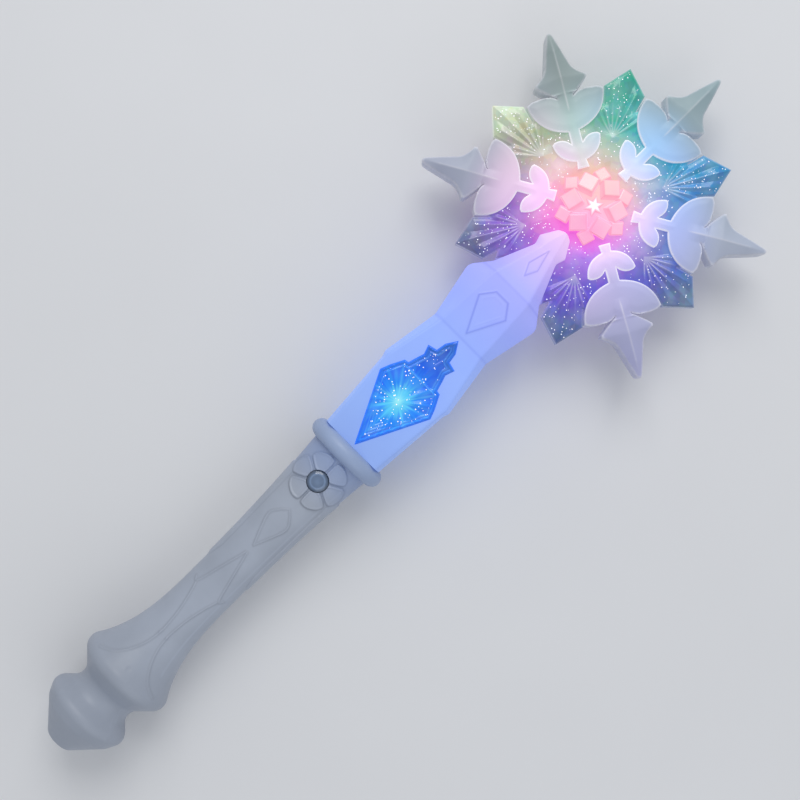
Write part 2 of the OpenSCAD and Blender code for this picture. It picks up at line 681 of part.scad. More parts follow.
module gem_shape(grow) offset(delta = grow)
  polygon(concat([for (p = gem_line) [p[0], gem_u + p[1]]],
    [for (i = [len(gem_line) - 2:-1:1]) [-gem_line[i][0], gem_u + gem_line[i][1]]]));

module shaft_front() color("lavender") lay() difference() {
  shaft_half(1);
  translate([0, 0, gem_seat - 1]) linear_extrude(10) gem_shape(fit);
}
module shaft_rear() color("lavender") lay() union() {
  shaft_half(-1);
  for (s = [-1, 1]) intersection() {
    post(4.5 * s, led_u, -30, led_board_z, 2);
    translate([-20, led_u - 10, 1.5 - shaft_t / 2]) cube([40, 20, 30]);
  }
  for (s = [-1, 1]) translate([stud_x * s, stud_u, -bulge_t / 2 - stud_h])
    cylinder(h = stud_h + 1.2, r1 = 0.6, r2 = 2.4, $fn = 16);
}
module gem_window() color("dodgerblue") lay() {
  linear_extrude_from(gem_seat - 0.3, gem_top - 1) gem_shape(0);
  intersection() {
    linear_extrude_from(gem_seat - gem_flange, gem_seat) gem_shape(1.2);
    shaft_loft(shaft_wall, shaft_u + shaft_wall + fit, hollow_end_u);
  }
  crown = [for (p = gem_line) [p[0] * 0.9, gem_u + 2 + p[1] * 0.955]];
  linear_extrude_from(gem_top - 1.2, gem_top) polygon(concat(crown,
    [for (i = [len(crown) - 2:-1:1]) [-crown[i][0], crown[i][1]]]));
}
module linear_extrude_from(z0, z1) translate([0, 0, z0]) linear_extrude(z1 - z0) children();
module gem_board() color("seagreen") lay() translate([-8, led_u - 9, led_board_z]) cube([16, 18, 1.2]);
// A round light with a domed top, its base on z
module round_led(u, z, top) translate([0, u, z]) rotate_extrude() polygon(concat(
  [[0, 0], [2.9, 0], [2.9, 0.8], [2.5, 0.8], [2.5, top - 2.4]],
  [for (i = [1:6]) [2.5 * cos(15 * i), top - 2.4 + 2.4 * sin(15 * i)]]
));
module gem_led() color("white") lay() round_led(led_u, led_base, led_tall);
module shaft_screws() color("silver") lay() screws(shaft_screw_at);

// Snowflake
module crystal_crown(a) translate([0, hub_u, 0]) rotate(a) {
  r = crystal_reach;
  z = plate_half;
  polyhedron([
    [r - 1.6, 0, z - 0.4], [r - 10.4, crystal_w / 2 - 1.6, z - 0.4], [r - 28, 0, z - 0.4],
    [r - 10.4, 1.6 - crystal_w / 2, z - 0.4], [r - 10.8, 0, z + 1.8]
  ], [[0, 4, 1], [1, 4, 2], [2, 4, 3], [3, 4, 0], [0, 1, 2, 3]]);
}
module flake(side) mirror([0, 0, side > 0 ? 0 : 1]) difference() {
  union() {
    linear_extrude(plate_half) plate_outline();
    for (a = [0:60:300]) crystal_crown(a);
  }
  post(0, hub_u, -1, 20, hub_hole);
  post(0, hub_u, -1, board_t / 2 + 0.05, hub_board_r + fit);
  for (a = arm_angles, r = peg_rs) post(r * sin(a), hub_u + r * cos(a), -1, 20, peg_r + fit);
  if (side > 0) {
    translate([-lead_d, anchor_lo - 1, -1]) cube([2 * lead_d, hub_u - anchor_lo, 1 + channel_top]);
    translate([-lead_d, hub_u - hub_hole - 5, -1]) cube([2 * lead_d, 5.2, 1 + pocket_top]);
  }
}
module flake_front() color("powderblue") lay() flake(1);
module flake_rear() color("powderblue") lay() flake(-1);

module rosette(side) mirror([0, 0, side > 0 ? 0 : 1]) translate([0, hub_u, plate_half]) difference() {
  union() {
    cylinder(r = rosette_r, h = 1.2);
    translate([0, 0, -0.9]) cylinder(r = hub_hole - fit, h = 2);
    intersection() {
      cylinder(r = rosette_r - 0.3, h = 12);
      union() {
        for (a = [0:60:300]) rotate(a) {
          translate([rosette_r * 0.524, 0, 0]) rotate([0, 22, 0]) rotate([0, 0, 45])
            cube([5.4, 5.4, 8.6], center = true);
          rotate(30) translate([rosette_r * 0.787, 0, 0]) rotate([0, 28, 0])
            cube([4.8, 4.8, 5.6], center = true);
        }
        cylinder(r1 = 6, r2 = 1, h = 5.6, $fn = 6);
      }
    }
  }
  translate([0, 0, -5]) cylinder(r = 5.6, h = 5.4);
  translate([0, 0, -5]) cylinder(r = 3, h = 7.4);
}
module rosette_front() color("pink") lay() rosette(1);
module rosette_rear() color("pink") lay() rosette(-1);
module hub_board() color("seagreen") lay() post(0, hub_u, -board_t / 2, board_t / 2, hub_board_r);
module hub_led_front() color("white") lay() round_led(hub_u, board_t / 2, hub_led_tall);
module hub_led_rear() color("white") lay() mirror([0, 0, 1]) round_led(hub_u, board_t / 2, hub_led_tall);

// Right half of a branch's outline as [across, reach], from the hub outwards
s2 = stem_w / 2;
stem_lo = rosette_r + 1.2;
leaf_lo = mix(stem_lo, arm_reach, 0.2226);
leaf_hi = mix(stem_lo, arm_reach, 0.5308);
head_r = mix(stem_lo, arm_reach, 0.6404);
half_branch = concat(
  [[s2 + 0.2, stem_lo], [s2 - 0.4, stem_lo + 3.4]],
  bow([s2 - 0.4, stem_lo + 3.4], [inner_leaf_w / 2 - 1, stem_lo + 5], [inner_leaf_w / 2, leaf_lo - 0.5], 6),
  bow([inner_leaf_w / 2, leaf_lo], [s2 + 3, leaf_lo + 2], [s2, leaf_lo - 2.2], 5),
  [[s2, leaf_lo + 3.4]],
  bow([s2, leaf_lo + 3.4], [outer_leaf_w / 2 - 1.6, leaf_hi - 12.6], [outer_leaf_w / 2, leaf_hi - 0.6], 7),
  bow([outer_leaf_w / 2 - 0.6, leaf_hi + 0.3], [s2 + 4, leaf_hi + 2.4], [s2 + 1, leaf_hi - 1], 5),
  [[s2 + 1, leaf_hi - 0.4]],
  bow([s2 + 1, leaf_hi - 0.4], [head_w / 2 - 3, head_r - 3.4], [head_w / 2, head_r - 0.5], 3),
  [[head_w / 2, head_r + 0.6]],
  bow([head_w / 2, head_r + 0.6], [5.6, head_r + 3.4], [4.9, head_r + 8], 4),
  [[1.3, arm_reach - 1.5], [0.8, arm_reach - 0.4], [0, arm_reach]]
);
module branch_outline() polygon(concat(half_branch,
  [for (i = [len(half_branch) - 2:-1:0]) [-half_branch[i][0], half_branch[i][1]]]));
// The roof over a branch's head
module branch_roof() {
  w = head_w / 2;
  base = [[0, arm_reach - 1.6], [3.9, head_r + 8], [w - 1.4, head_r], [s2 + 0.6, leaf_hi + 1.6],
    [s2 - 0.3, leaf_hi - 5]];
  z = branch_top - 0.3;
  ridge = [[0, arm_reach - 8, branch_top + ridge_h * 0.8], [0, head_r + 1, branch_top + ridge_h],
    [0, leaf_hi - 1, branch_top + ridge_h * 0.5]];
  right = [for (p = base) [p[0], p[1], z]];
  left = [for (i = [4:-1:1]) [-base[i][0], base[i][1], z]];
  polyhedron(concat(right, left, ridge), [
    [1, 9, 0], [10, 9, 1], [2, 10, 1], [3, 10, 2], [11, 10, 3], [4, 11, 3], [5, 11, 4],
    [6, 11, 5], [10, 11, 6], [7, 10, 6], [8, 10, 7], [9, 10, 8], [0, 9, 8],
    [8, 1, 0], [3, 2, 1], [6, 3, 1], [8, 6, 1], [8, 7, 6], [5, 4, 3], [6, 5, 3]
  ]);
}
module branch(k, side) mirror([0, 0, side > 0 ? 0 : 1]) translate([0, hub_u, 0]) rotate(-arm_angles[k]) {
  linear_extrude_from(plate_half, branch_top) branch_outline();
  linear_extrude_from(0, plate_half + 0.4) difference() {
    branch_outline();
    offset(delta = 0.3) rotate(arm_angles[k]) translate([0, -hub_u]) plate_outline();
  }
  branch_roof();
  for (r = peg_rs) translate([0, r, 0.4]) cylinder(r = peg_r, h = plate_half);
}
module branch_front(k) color("white") lay() branch(k, 1);
module branch_rear(k) color("white") lay() branch(k, -1);

handle_front();
handle_rear();
collar_ring();
power_button();
battery_door();
door_screw();
battery_tray();
battery_lower();
battery_upper();
spring_plate();
contact_spring();
end_contact();
circuit_board();
switch_case();
switch_stem();
sound_chip();
motion_can();
motion_ball();
speaker_frame();
speaker_cone();
speaker_magnet();
handle_screws();
battery_lead_red();
battery_lead_black();
speaker_lead();
light_lead();
hub_lead();
shaft_front();
shaft_rear();
gem_window();
gem_board();
gem_led();
shaft_screws();
flake_front();
flake_rear();
rosette_front();
rosette_rear();
hub_board();
hub_led_front();
hub_led_rear();
for (k = [0:ARMS - 1]) {
  branch_front(k);
  branch_rear(k);
}
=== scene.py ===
"""A light-up snowflake wand: the looks of every piece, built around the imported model."""
import math

import bmesh
import bpy
import numpy as np
from bpy.props import FloatProperty, FloatVectorProperty, IntProperty, PointerProperty
from bpy.types import Operator, Panel, PropertyGroup
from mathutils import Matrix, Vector
from mathutils.geometry import delaunay_2d_cdt


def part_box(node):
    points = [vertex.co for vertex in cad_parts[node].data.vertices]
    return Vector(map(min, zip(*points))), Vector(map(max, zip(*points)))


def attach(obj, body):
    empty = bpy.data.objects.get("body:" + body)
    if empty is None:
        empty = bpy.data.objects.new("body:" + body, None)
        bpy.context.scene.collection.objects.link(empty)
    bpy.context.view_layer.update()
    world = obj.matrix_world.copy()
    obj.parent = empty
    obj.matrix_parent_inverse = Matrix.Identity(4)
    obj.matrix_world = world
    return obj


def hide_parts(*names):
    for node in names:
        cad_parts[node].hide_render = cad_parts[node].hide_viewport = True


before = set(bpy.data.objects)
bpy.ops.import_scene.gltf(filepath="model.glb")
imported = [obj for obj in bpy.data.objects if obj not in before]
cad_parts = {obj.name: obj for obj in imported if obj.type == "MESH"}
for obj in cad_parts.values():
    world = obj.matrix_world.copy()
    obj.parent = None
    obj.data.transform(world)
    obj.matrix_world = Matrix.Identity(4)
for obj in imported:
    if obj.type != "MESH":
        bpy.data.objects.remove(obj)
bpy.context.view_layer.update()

bl_info = {
    "name": "Snowflake wand",
    "version": (1, 0, 0),
    "blender": (4, 5, 0),
    "location": "3D View > Sidebar > Wand",
    "description": "Builds the looks of a light-up snowflake wand",
    "category": "Object",
}

# Places in the frame, in millimetres: along the wand from the pommel's end, up from the mid-plane
collar_lo, collar_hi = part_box("collar_ring")
AXIS = (collar_lo.z + collar_hi.z) * 500
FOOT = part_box("handle_front")[0].y * 1000
COLLAR_U = collar_lo.y * 1000 - FOOT
SHAFT_U = collar_hi.y * 1000 - FOOT
BUTTON_U = sum(c.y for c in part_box("power_button")) * 500 - FOOT
HUB_U = sum(c.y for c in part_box("hub_board")) * 500 - FOOT
GEM_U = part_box("gem_window")[0].y * 1000 - FOOT
TIP_U = HUB_U - 16.9  # end of the shaft's finger
GEM_SPOT_U = GEM_U + 25.6  # the light behind the gem
DIP_U, CREASE_U = SHAFT_U + 64.6, SHAFT_U + 94.6  # creases on both sides of the shaft's bulge
FLARE_U, WAIST_U = 41.4, 98.0  # the handle's widest and thinnest place
SPEAKER_U = 43.4
DOOR_LO, DOOR_HI = BUTTON_U - 98.5, BUTTON_U + 4.5
DOOR_HALF = 6.0
BOLT_U = BUTTON_U - 0.1  # the door's screw
# Screws as (across, along, height of the seat)
HANDLE_SCREWS = ((0, 17.5, -8), (9.6, COLLAR_U - 8.6, -5), (-9.6, COLLAR_U - 8.6, -5))
SHAFT_SCREWS = ((0, 247.2, -5), (12, 266, -5), (-12, 266, -5), (9.6, SHAFT_U + 6, -5), (-9.6, SHAFT_U + 6, -5))
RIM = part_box("handle_front")[1].z * 1000 - AXIS  # nothing of the handle stands out further
NECK_BORE, SPIGOT_R, SPIGOT_BORE = 10.65, 10.5, 8.4  # the shaft's spigot in the handle and the collar
PLATE = 4.0  # thickness of one clear plate, from the mid-plane
ARM_TURNS = (0, -60, -120, 120, 60)  # the branches, in degrees from the wand's far end


def linear(r, g, b):
    """A screen colour as the linear one that shaders take."""
    return tuple(((c / 255 + 0.055) / 1.055) ** 2.4 if c > 10 else c / 255 / 12.92 for c in (r, g, b))


def colour(name, about, rgb):
    """A colour that the panel shows, given as a screen colour."""
    return FloatVectorProperty(name=name, description=about, subtype="COLOR", size=3, min=0, max=1,
                               default=linear(*rgb))


def length(name, about, value):
    """A size that the panel shows, given in millimetres."""
    return FloatProperty(name=name, description=about, default=value / 1000, unit="LENGTH", precision=4)


class WandSizes(PropertyGroup):
    """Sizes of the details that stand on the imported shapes"""
    pommel_d: length("Pommel", "Diameter of the pommel's ridge before rounding", 41.2)
    flare_d: length("Flare", "Diameter of the flare's rim before rounding", 46)
    grip_d: length("Grip", "Diameter of the grip where it is thinnest", 22.8)
    wall: length("Wall", "Wall of the handle shells", 1.8)
    petal_h: length("Petal height", "Height of the flower's petals", 0.8)
    panel_h: length("Panel height", "Height of the side panels", 0.5)
    line_h: length("Line height", "Height of the raised lines on the grip", 0.32)
    line_w: length("Line width", "Width of the raised lines on the grip", 0.85)
    gem_w: length("Gem width", "Width of the gem at its widest", 29.8)
    gem_len: length("Gem length", "Length of the gem from tip to tip", 61.6)
    crystal_reach: length("Crystal reach", "Reach of a clear crystal from the centre", 61)
    arm_reach: length("Branch reach", "Reach of a branch from the centre", 76)
    head_w: length("Branch head", "Width of a branch's head", 22.4)
    leaf_w: length("Branch leaves", "Width across a branch's outer leaves", 33.6)
    rosette_r: length("Cluster radius", "Radius of the block cluster", 16.4)
    screw_head_d: length("Screw head", "Diameter of a screw's head", 4)
    glitter: IntProperty(name="Glitter", description="Glitter specks for each square centimetre of clear plate",
                         default=13, min=0, max=60)
    speck: length("Speck", "Width of a glitter speck", 0.62)


class WandFinishes(PropertyGroup):
    """Colours of the wand's finishes"""
    grip: colour("Handle", "Pearl plastic of the handle", (166, 174, 189))
    collar: colour("Collar", "Plastic of the collar", (154, 172, 206))
    button: colour("Button", "Clear cap of the button", (104, 124, 154))
    branch: colour("Branch", "White plastic of the branches", (178, 189, 202))
    steel: colour("Steel", "Screws and contacts", (168, 170, 174))
    floor: colour("Floor", "Pale floor", (226, 227, 230))


def sizes():
    """All sizes in millimetres."""
    s = bpy.context.scene.wand_sizes
    return {k: getattr(s, k) * (1 if k == "glitter" else 1000) for k in s.__annotations__}


# Lines and distances in the plane


def lookup(u, table):
    """A value between the rows of a table of (place, value)."""
    t = np.asarray(table, float)
    return np.interp(u, t[:, 0], t[:, 1])


def corner_arc(a, b, c, r, n):
    """Points of the arc that rounds the corner b between a and c."""
    a, b, c = (np.asarray(v[:2], float) for v in (a, b, c))
    p, q = (a - b) / np.linalg.norm(a - b), (c - b) / np.linalg.norm(c - b)
    h = math.acos(np.clip(p @ q, -1, 1)) / 2
    o = b + (p + q) / np.linalg.norm(p + q) * r / math.sin(h)
    s, e = b + p * r / math.tan(h) - o, b + q * r / math.tan(h) - o
    way = 1 if s[0] * e[1] - s[1] * e[0] > 0 else -1
    turn = way * (math.pi - 2 * h) * np.arange(n + 1) / n
    return np.stack([o[0] + s[0] * np.cos(turn) - s[1] * np.sin(turn),
                     o[1] + s[0] * np.sin(turn) + s[1] * np.cos(turn)], 1)


def rounded_line(points, n):
    """A line through corners given as (x, y, radius)."""
    out = []
    for i, p in enumerate(points):
        if i in (0, len(points) - 1) or len(p) < 3 or p[2] == 0:
            out.append(np.asarray(p[:2], float)[None])
        else:
            out.append(corner_arc(points[i - 1], p, points[i + 1], p[2], n))
    return np.concatenate(out)


def respaced(line, step):
    """The same open line with even steps of about the given length."""
    line = np.asarray(line, float)
    run = np.concatenate([[0], np.cumsum(np.linalg.norm(np.diff(line, axis=0), axis=1))])
    n = max(2, int(round(run[-1] / step)) + 1)
    at = np.linspace(0, run[-1], n)
    return np.stack([np.interp(at, run, line[:, k]) for k in range(line.shape[1])], 1)


def dense_loop(loop, step):
    """A closed outline whose long edges are cut into steps; its corners stay."""
    out = []
    for a, b in zip(loop, np.roll(loop, -1, axis=0)):
        n = max(1, int(math.ceil(np.linalg.norm(b - a) / step)))
        out += [a + (b - a) * i / n for i in range(n)]
    return np.array(out)


def to_line(x, y, line, closed=False):
    """Distance of each point to a line of straight stretches."""
    line = np.asarray(line, float)
    ends = np.roll(line, -1, axis=0) if closed else line[1:]
    starts = line if closed else line[:-1]
    best = np.full(x.shape, 1e9)
    for a, b in zip(starts, ends):
        d = b - a
        t = np.clip(((x - a[0]) * d[0] + (y - a[1]) * d[1]) / max(d @ d, 1e-12), 0, 1)
        best = np.minimum(best, (x - a[0] - t * d[0]) ** 2 + (y - a[1] - t * d[1]) ** 2)
    return np.sqrt(best)


def inside(x, y, loop):
    """Which points lie inside a closed outline."""
    loop = np.asarray(loop, float)
    hit = np.zeros(x.shape, bool)
    for a, b in zip(loop, np.roll(loop, -1, axis=0)):
        if a[1] != b[1]:
            hit ^= ((a[1] > y) != (b[1] > y)) & (x < (b[0] - a[0]) * (y - a[1]) / (b[1] - a[1]) + a[0])
    return hit


def depth_in(x, y, loop):
    """How far inside an outline each point lies; negative outside."""
    d = to_line(x, y, loop, True)
    return np.where(inside(x, y, loop), d, -d)


def eased(v, lo, hi):
    """A smooth step from 0 at lo to 1 at hi."""
    t = np.clip((v - lo) / (hi - lo), 0, 1)
    return t * t * (3 - 2 * t)


def bead(d, height, width):
    """Height of a rounded raised line, by the distance to its middle."""
    return height * np.exp(-(2 * d / width) ** 2)


def smooth_loop(loop):
    """A closed outline with its corners cut."""
    loop = np.asarray(loop, float)
    nxt = np.roll(loop, -1, axis=0)
    return np.stack([loop * 0.75 + nxt * 0.25, loop * 0.25 + nxt * 0.75], 1).reshape(-1, 2)


def smooth_line(points, step=0.6):
    """A smooth curve through the points."""
    p = np.asarray(points, float)
    p = np.concatenate([[2 * p[0] - p[1]], p, [2 * p[-1] - p[-2]]])
    t = np.linspace(0, 1, 12)[:, None]
    out = [p[1][None]]
    for a, b, c, d in zip(p[:-3], p[1:-2], p[2:-1], p[3:]):
        out.append((b + (c - a) * t / 2 + (2 * a - 5 * b + 4 * c - d) * t ** 2 / 2
                    + (3 * b - a - 3 * c + d) * t ** 3 / 2)[1:])
    return respaced(np.concatenate(out), step)


def bow(a, b, c, n):
    """Points of a bowed line from a to c, drawn towards b; a is left out."""
    t = (np.arange(n) + 1)[:, None] / n
    a, b, c = (np.asarray(v, float) for v in (a, b, c))
    return a * (1 - t) ** 2 + b * 2 * t * (1 - t) + c * t ** 2


def grown(loop, d):
    """An outline moved outwards by d, with mitred corners; the outline runs anticlockwise."""
    p, q = np.roll(loop, 1, axis=0), np.roll(loop, -1, axis=0)
    e = (loop - p) / np.linalg.norm(loop - p, axis=1)[:, None]
    f = (q - loop) / np.linalg.norm(q - loop, axis=1)[:, None]
    n = np.stack([e[:, 1] + f[:, 1], -e[:, 0] - f[:, 0]], 1)
    n /= np.maximum(np.linalg.norm(n, axis=1), 1e-9)[:, None]
    share = np.maximum(n[:, 0] * e[:, 1] - n[:, 1] * e[:, 0], 0.35)
    return loop + n * d / share[:, None]


def spun(points, degrees):
    """Points turned anticlockwise about the origin."""
    a = math.radians(degrees)
    m = np.array([[math.cos(a), math.sin(a)], [-math.sin(a), math.cos(a)]])
    return np.asarray(points, float) @ m


# Meshes


def make(name, points, faces):
    """A new object from points in millimetres (across, along, up)."""
    mesh = bpy.data.meshes.new(name)
    place = (np.asarray(points, float) + (0, FOOT, AXIS)) / 1000
    mesh.from_pydata(place.tolist(), [], [list(map(int, f)) for f in faces])
    mesh.update()
    obj = bpy.data.objects.new(name, mesh)
    bpy.context.scene.collection.objects.link(obj)
    return obj


def drop(*objs):
    """Removes helper shapes."""
    for obj in objs:
        mesh = obj.data
        bpy.data.objects.remove(obj)
        bpy.data.meshes.remove(mesh)


def closed(obj, reach=1e-7):
    """Merges doubles and turns all faces outwards."""
    bm = bmesh.new()
    bm.from_mesh(obj.data)
    bmesh.ops.remove_doubles(bm, verts=bm.verts, dist=reach)
    bmesh.ops.dissolve_degenerate(bm, edges=bm.edges, dist=reach)
    bmesh.ops.recalc_face_normals(bm, faces=bm.faces)
    bm.to_mesh(obj.data)
    bm.free()
    return obj


def applied(obj):
    """Turns what an object's modifiers make into its plain mesh."""
    bpy.context.view_layer.update()
    mesh = bpy.data.meshes.new_from_object(obj.evaluated_get(bpy.context.evaluated_depsgraph_get()))
    obj.modifiers.clear()
    old, obj.data = obj.data, mesh
    mesh.name = obj.name
    bpy.data.meshes.remove(old)
    if not mesh.polygons:
        raise RuntimeError(f"{obj.name} came out empty")
    return obj


def carve(obj, *tools, how="DIFFERENCE", solver="MANIFOLD", keep=False):
    """Cuts, joins or trims an object with others, which are then removed."""
    for tool in tools:
        mod = obj.modifiers.new("carve", "BOOLEAN")
        mod.object, mod.operation, mod.solver = tool, how, solver
        if solver == "EXACT":
            mod.use_self = True
        applied(obj)
    if not keep:
        drop(*tools)
    return obj


def dressed(obj, material, body, nodes, angle=40):
    """Gives a finished piece its material and shading, and ties it to the frame."""
    obj.data.materials.clear()
    obj.data.materials.append(material)
    obj.data.polygons.foreach_set("material_index", np.zeros(len(obj.data.polygons), np.int32))
    obj.data.shade_smooth()
    if angle:
        obj.data.set_sharp_from_angle(angle=math.radians(angle))
    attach(obj, body)
    if nodes:
        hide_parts(*nodes)
    return obj


def coords(obj):
    """Places of an object's points in the frame, in metres."""
    co = np.empty(len(obj.data.vertices) * 3, np.float32)
    obj.data.vertices.foreach_get("co", co)
    return co.reshape(-1, 3)


def set_coords(obj, co):
    """Moves an object's points."""
    obj.data.vertices.foreach_set("co", co.astype(np.float32).ravel())
    obj.data.update()


def mark(obj, drawn):
    """Stores how strongly each point of a piece lies on its drawn lines, along which its finish paints shade on the
    handle and shaft and light on the plates, branches and gem.
    """
    p = coords(obj) * 1000.0 - (0, FOOT, AXIS)
    value = np.clip(drawn(p[:, 0], p[:, 1], p[:, 2]), 0, 1).astype(np.float32)
    obj.data.attributes.new("lines", "FLOAT", "POINT").data.foreach_set("value", value)


def mirror(obj):
    """Moves a piece of the front through the mid-plane to the rear."""
    co = coords(obj)
    co[:, 2] = 2 * AXIS / 1000 - co[:, 2]
    set_coords(obj, co)
    obj.data.flip_normals()
    obj.data.update()


def strips(rows, cols, around=False):
    """Faces of a grid of points, row after row."""
    i = np.arange(rows - 1)[:, None] * cols
    j = np.arange(cols if around else cols - 1)[None]
    k = (j + 1) % cols
    return np.stack([i + j, i + k, i + cols + k, i + cols + j], -1).reshape(-1, 4).tolist()


def lofted(name, rings):
    """A closed solid through rings with the same number of points."""
    rings = np.asarray(rings, float)
    m, n = rings.shape[:2]
    faces = strips(m, n, True) + [list(range(n))[::-1], list(range((m - 1) * n, m * n))]
    return closed(make(name, rings.reshape(-1, 3), faces))


def turned(name, line, at, axis="z", steps=64):
    """A closed solid of revolution: the line holds (radius, height) from axis to axis."""
    a = 2 * math.pi * np.arange(steps) / steps
    line = np.asarray(line, float)
    r, h = line[:, :1], np.repeat(line[:, 1:], steps, 1)
    x, y = r * np.cos(a), r * np.sin(a)
    p = np.stack([x, y, h] if axis == "z" else [x, h, y], -1) if axis != "x" else np.stack([h, x, y], -1)
    return closed(make(name, (p + np.asarray(at, float)).reshape(-1, 3), strips(len(line), steps, True)))


def post(name, x, u, lo, hi, r, steps=48):
    """A round post square to the wand's face."""
    return turned(name, [(0, lo), (r, lo), (r, hi), (0, hi)], (x, u, 0), steps=steps)


def half_turned(name, r, u, a, side):
    """A closed half of a turned solid, from a grid of radii and places along the wand."""
    rows, cols = r.shape
    points = np.stack([r * np.cos(a), u, side * r * np.sin(a)], -1)
    faces = strips(rows, cols)
    faces.append([i * cols for i in range(rows)])
    faces.append([i * cols + cols - 1 for i in range(rows)][::-1])
    return closed(make(name, points.reshape(-1, 3), faces), 1e-6)


def soft(obj, width):
    """Breaks all edges of a shape with a narrow flat."""
    bm = bmesh.new()
    bm.from_mesh(obj.data)
    bmesh.ops.bevel(bm, geom=bm.edges, offset=width / 1000, segments=1, affect="EDGES")
    bmesh.ops.recalc_face_normals(bm, faces=bm.faces)
    bm.to_mesh(obj.data)
    bm.free()
    return obj


def prism(name, loop, lo, hi):
    """A solid with straight walls over an outline."""
    n = len(loop)
    low, high = np.column_stack([loop, np.full(n, lo)]), np.column_stack([loop, np.full(n, hi)])
    return lofted(name, [low, high])


def block(name, x0, x1, u0, u1, z0, z1):
    """A box between two corners."""
    return prism(name, np.array([(x0, u0), (x1, u0), (x1, u1), (x0, u1)], float), z0, z1)


def raised(name, loop, top, low, step, keep=None):
    """A closed solid over an outline, with a flat underside and a top of any height.

    Returns the object, and the top's faces that keep() picks as (points, triangles)."""
    loop = dense_loop(loop, step)
    lo, hi = loop.min(0), loop.max(0)
    xs = np.arange(lo[0], hi[0], step)
    ys = np.arange(lo[1], hi[1], step * 0.866)
    gx, gy = np.meshgrid(xs, ys)
    gx = gx + (np.arange(len(ys)) % 2)[:, None] * step / 2
    gx, gy = gx.ravel(), gy.ravel()
    ok = inside(gx, gy, loop)
    gx, gy = gx[ok], gy[ok]
    ok = to_line(gx, gy, loop, True) > step * 0.45
    flat = np.concatenate([loop, np.stack([gx[ok], gy[ok]], 1)])
    n = len(loop)
    edges = [(i, (i + 1) % n) for i in range(n)]
    out = delaunay_2d_cdt([Vector(p) for p in flat], edges, [], 1, 1e-6)
    at = np.array([tuple(v) for v in out[0]])
    tris = np.array(out[2])
    area = np.cross(at[tris[:, 1]] - at[tris[:, 0]], at[tris[:, 2]] - at[tris[:, 0]])
    tris[area < 0] = tris[area < 0][:, ::-1]
    points = np.column_stack([at, top(at[:, 0], at[:, 1])])
    sides = np.concatenate([tris[:, [0, 1]], tris[:, [1, 2]], tris[:, [2, 0]]])
    known = {(int(a), int(b)) for a, b in sides}
    rim = {a: b for a, b in known if (b, a) not in known}
    walk = [next(iter(rim))]
    while rim[walk[-1]] != walk[0]:
        walk.append(rim[walk[-1]])
    m = len(points)
    under = np.column_stack([at[walk], np.full(len(walk), float(low))])
    k = len(walk)
    faces = tris.tolist()
    faces += [[walk[(i + 1) % k], walk[i], m + i, m + (i + 1) % k] for i in range(k)]
    faces.append([m + i for i in range(k)][::-1])
    obj = make(name, np.concatenate([points, under]), faces)
    if keep is None:
        return obj, None
    mid = points[tris].mean(1)
    return obj, (points, tris[keep(mid[:, 0], mid[:, 1])])


# Outlines of the wand


def handle_radius(u, s):
    """Radius of the grip at a place along the wand."""
    grip, flare = s["grip_d"] / 2, s["flare_d"] / 2
    low = np.clip((WAIST_U - u) / (WAIST_U - FLARE_U), 0, None)
    high = np.clip((u - WAIST_U) / (COLLAR_U - WAIST_U), 0, None)
    return np.where(u < WAIST_U, grip + (flare - grip) * low ** 3.4, grip + 3.2 * high ** 2.1)


def bolt_seat(s):
    """Height of the seat of the door's screw."""
    return 1.55 - float(handle_radius(BOLT_U, s))


def handle_outline(s):
    """The handle's outline as (radius, place), from the middle of its flat end to the collar."""
    bell = 46.4
    low = rounded_line([(0, 0), (6.2, 0, 3), (17.6, 13, 3), (s["pommel_d"] / 2, 19.2, 4), (10.9, 28.9, 6.5),
                        (s["flare_d"] / 2, FLARE_U, 4.7), (float(handle_radius(bell, s)), bell)], 16)
    u = np.linspace(bell, COLLAR_U, 400)[1:]
    line = np.concatenate([low, np.stack([handle_radius(u, s), u], 1)])
    line[:, 0] = np.minimum(line[:, 0], RIM)
    return line


def moved_in(line, d):
    """A profile line moved inwards by d."""
    t = np.gradient(line, axis=0)
    t /= np.linalg.norm(t, axis=1)[:, None]
    return line - d * np.stack([t[:, 1], -t[:, 0]], 1)


# Drawn lines of the handle as (across, along); a petal lies about the button's middle
PETAL = smooth_loop([(3.6, -1.75), (9.4, -5.0), (10.8, -4.7), (12.4, -2.1),
                     (12.4, 2.1), (10.8, 4.7), (9.4, 5.0), (3.6, 1.75)])
KITE = [(0, 141.8), (3.2, 138.4), (5.2, 134.4), (3.4, 128.4), (0, 120.3)]
TENDRIL = [(0.3, 116), (2.1, 109), (4.1, 101), (5.8, 94.4), (6.9, 92.2), (8.1, 93.6)]
STRAND = [(6.2, 91.6), (4.6, 86.5), (2.9, 79), (2.1, 72.5), (1.9, 67), (2.9, 60.5), (5.6, 54), (9.8, 48.6), (15.5, 45)]
SIDE_LINE = [(14.2, 17.6), (13.6, 22), (11.9, 26), (10.4, 29)]
PANEL_EDGE = [(102, 10.9), (110, 9.6), (157.5, 10.5)]  # (along, across)


def panel_relief(x, u, s):
    """Height of the grip's side panels."""
    edge = lookup(u, PANEL_EDGE)
    ends = eased(u, 102.8, 103.6) * (1 - eased(u, BUTTON_U - 2.3, BUTTON_U - 1.5))
    return s["panel_h"] * eased(np.abs(x), edge - 0.25, edge + 0.35) * ends


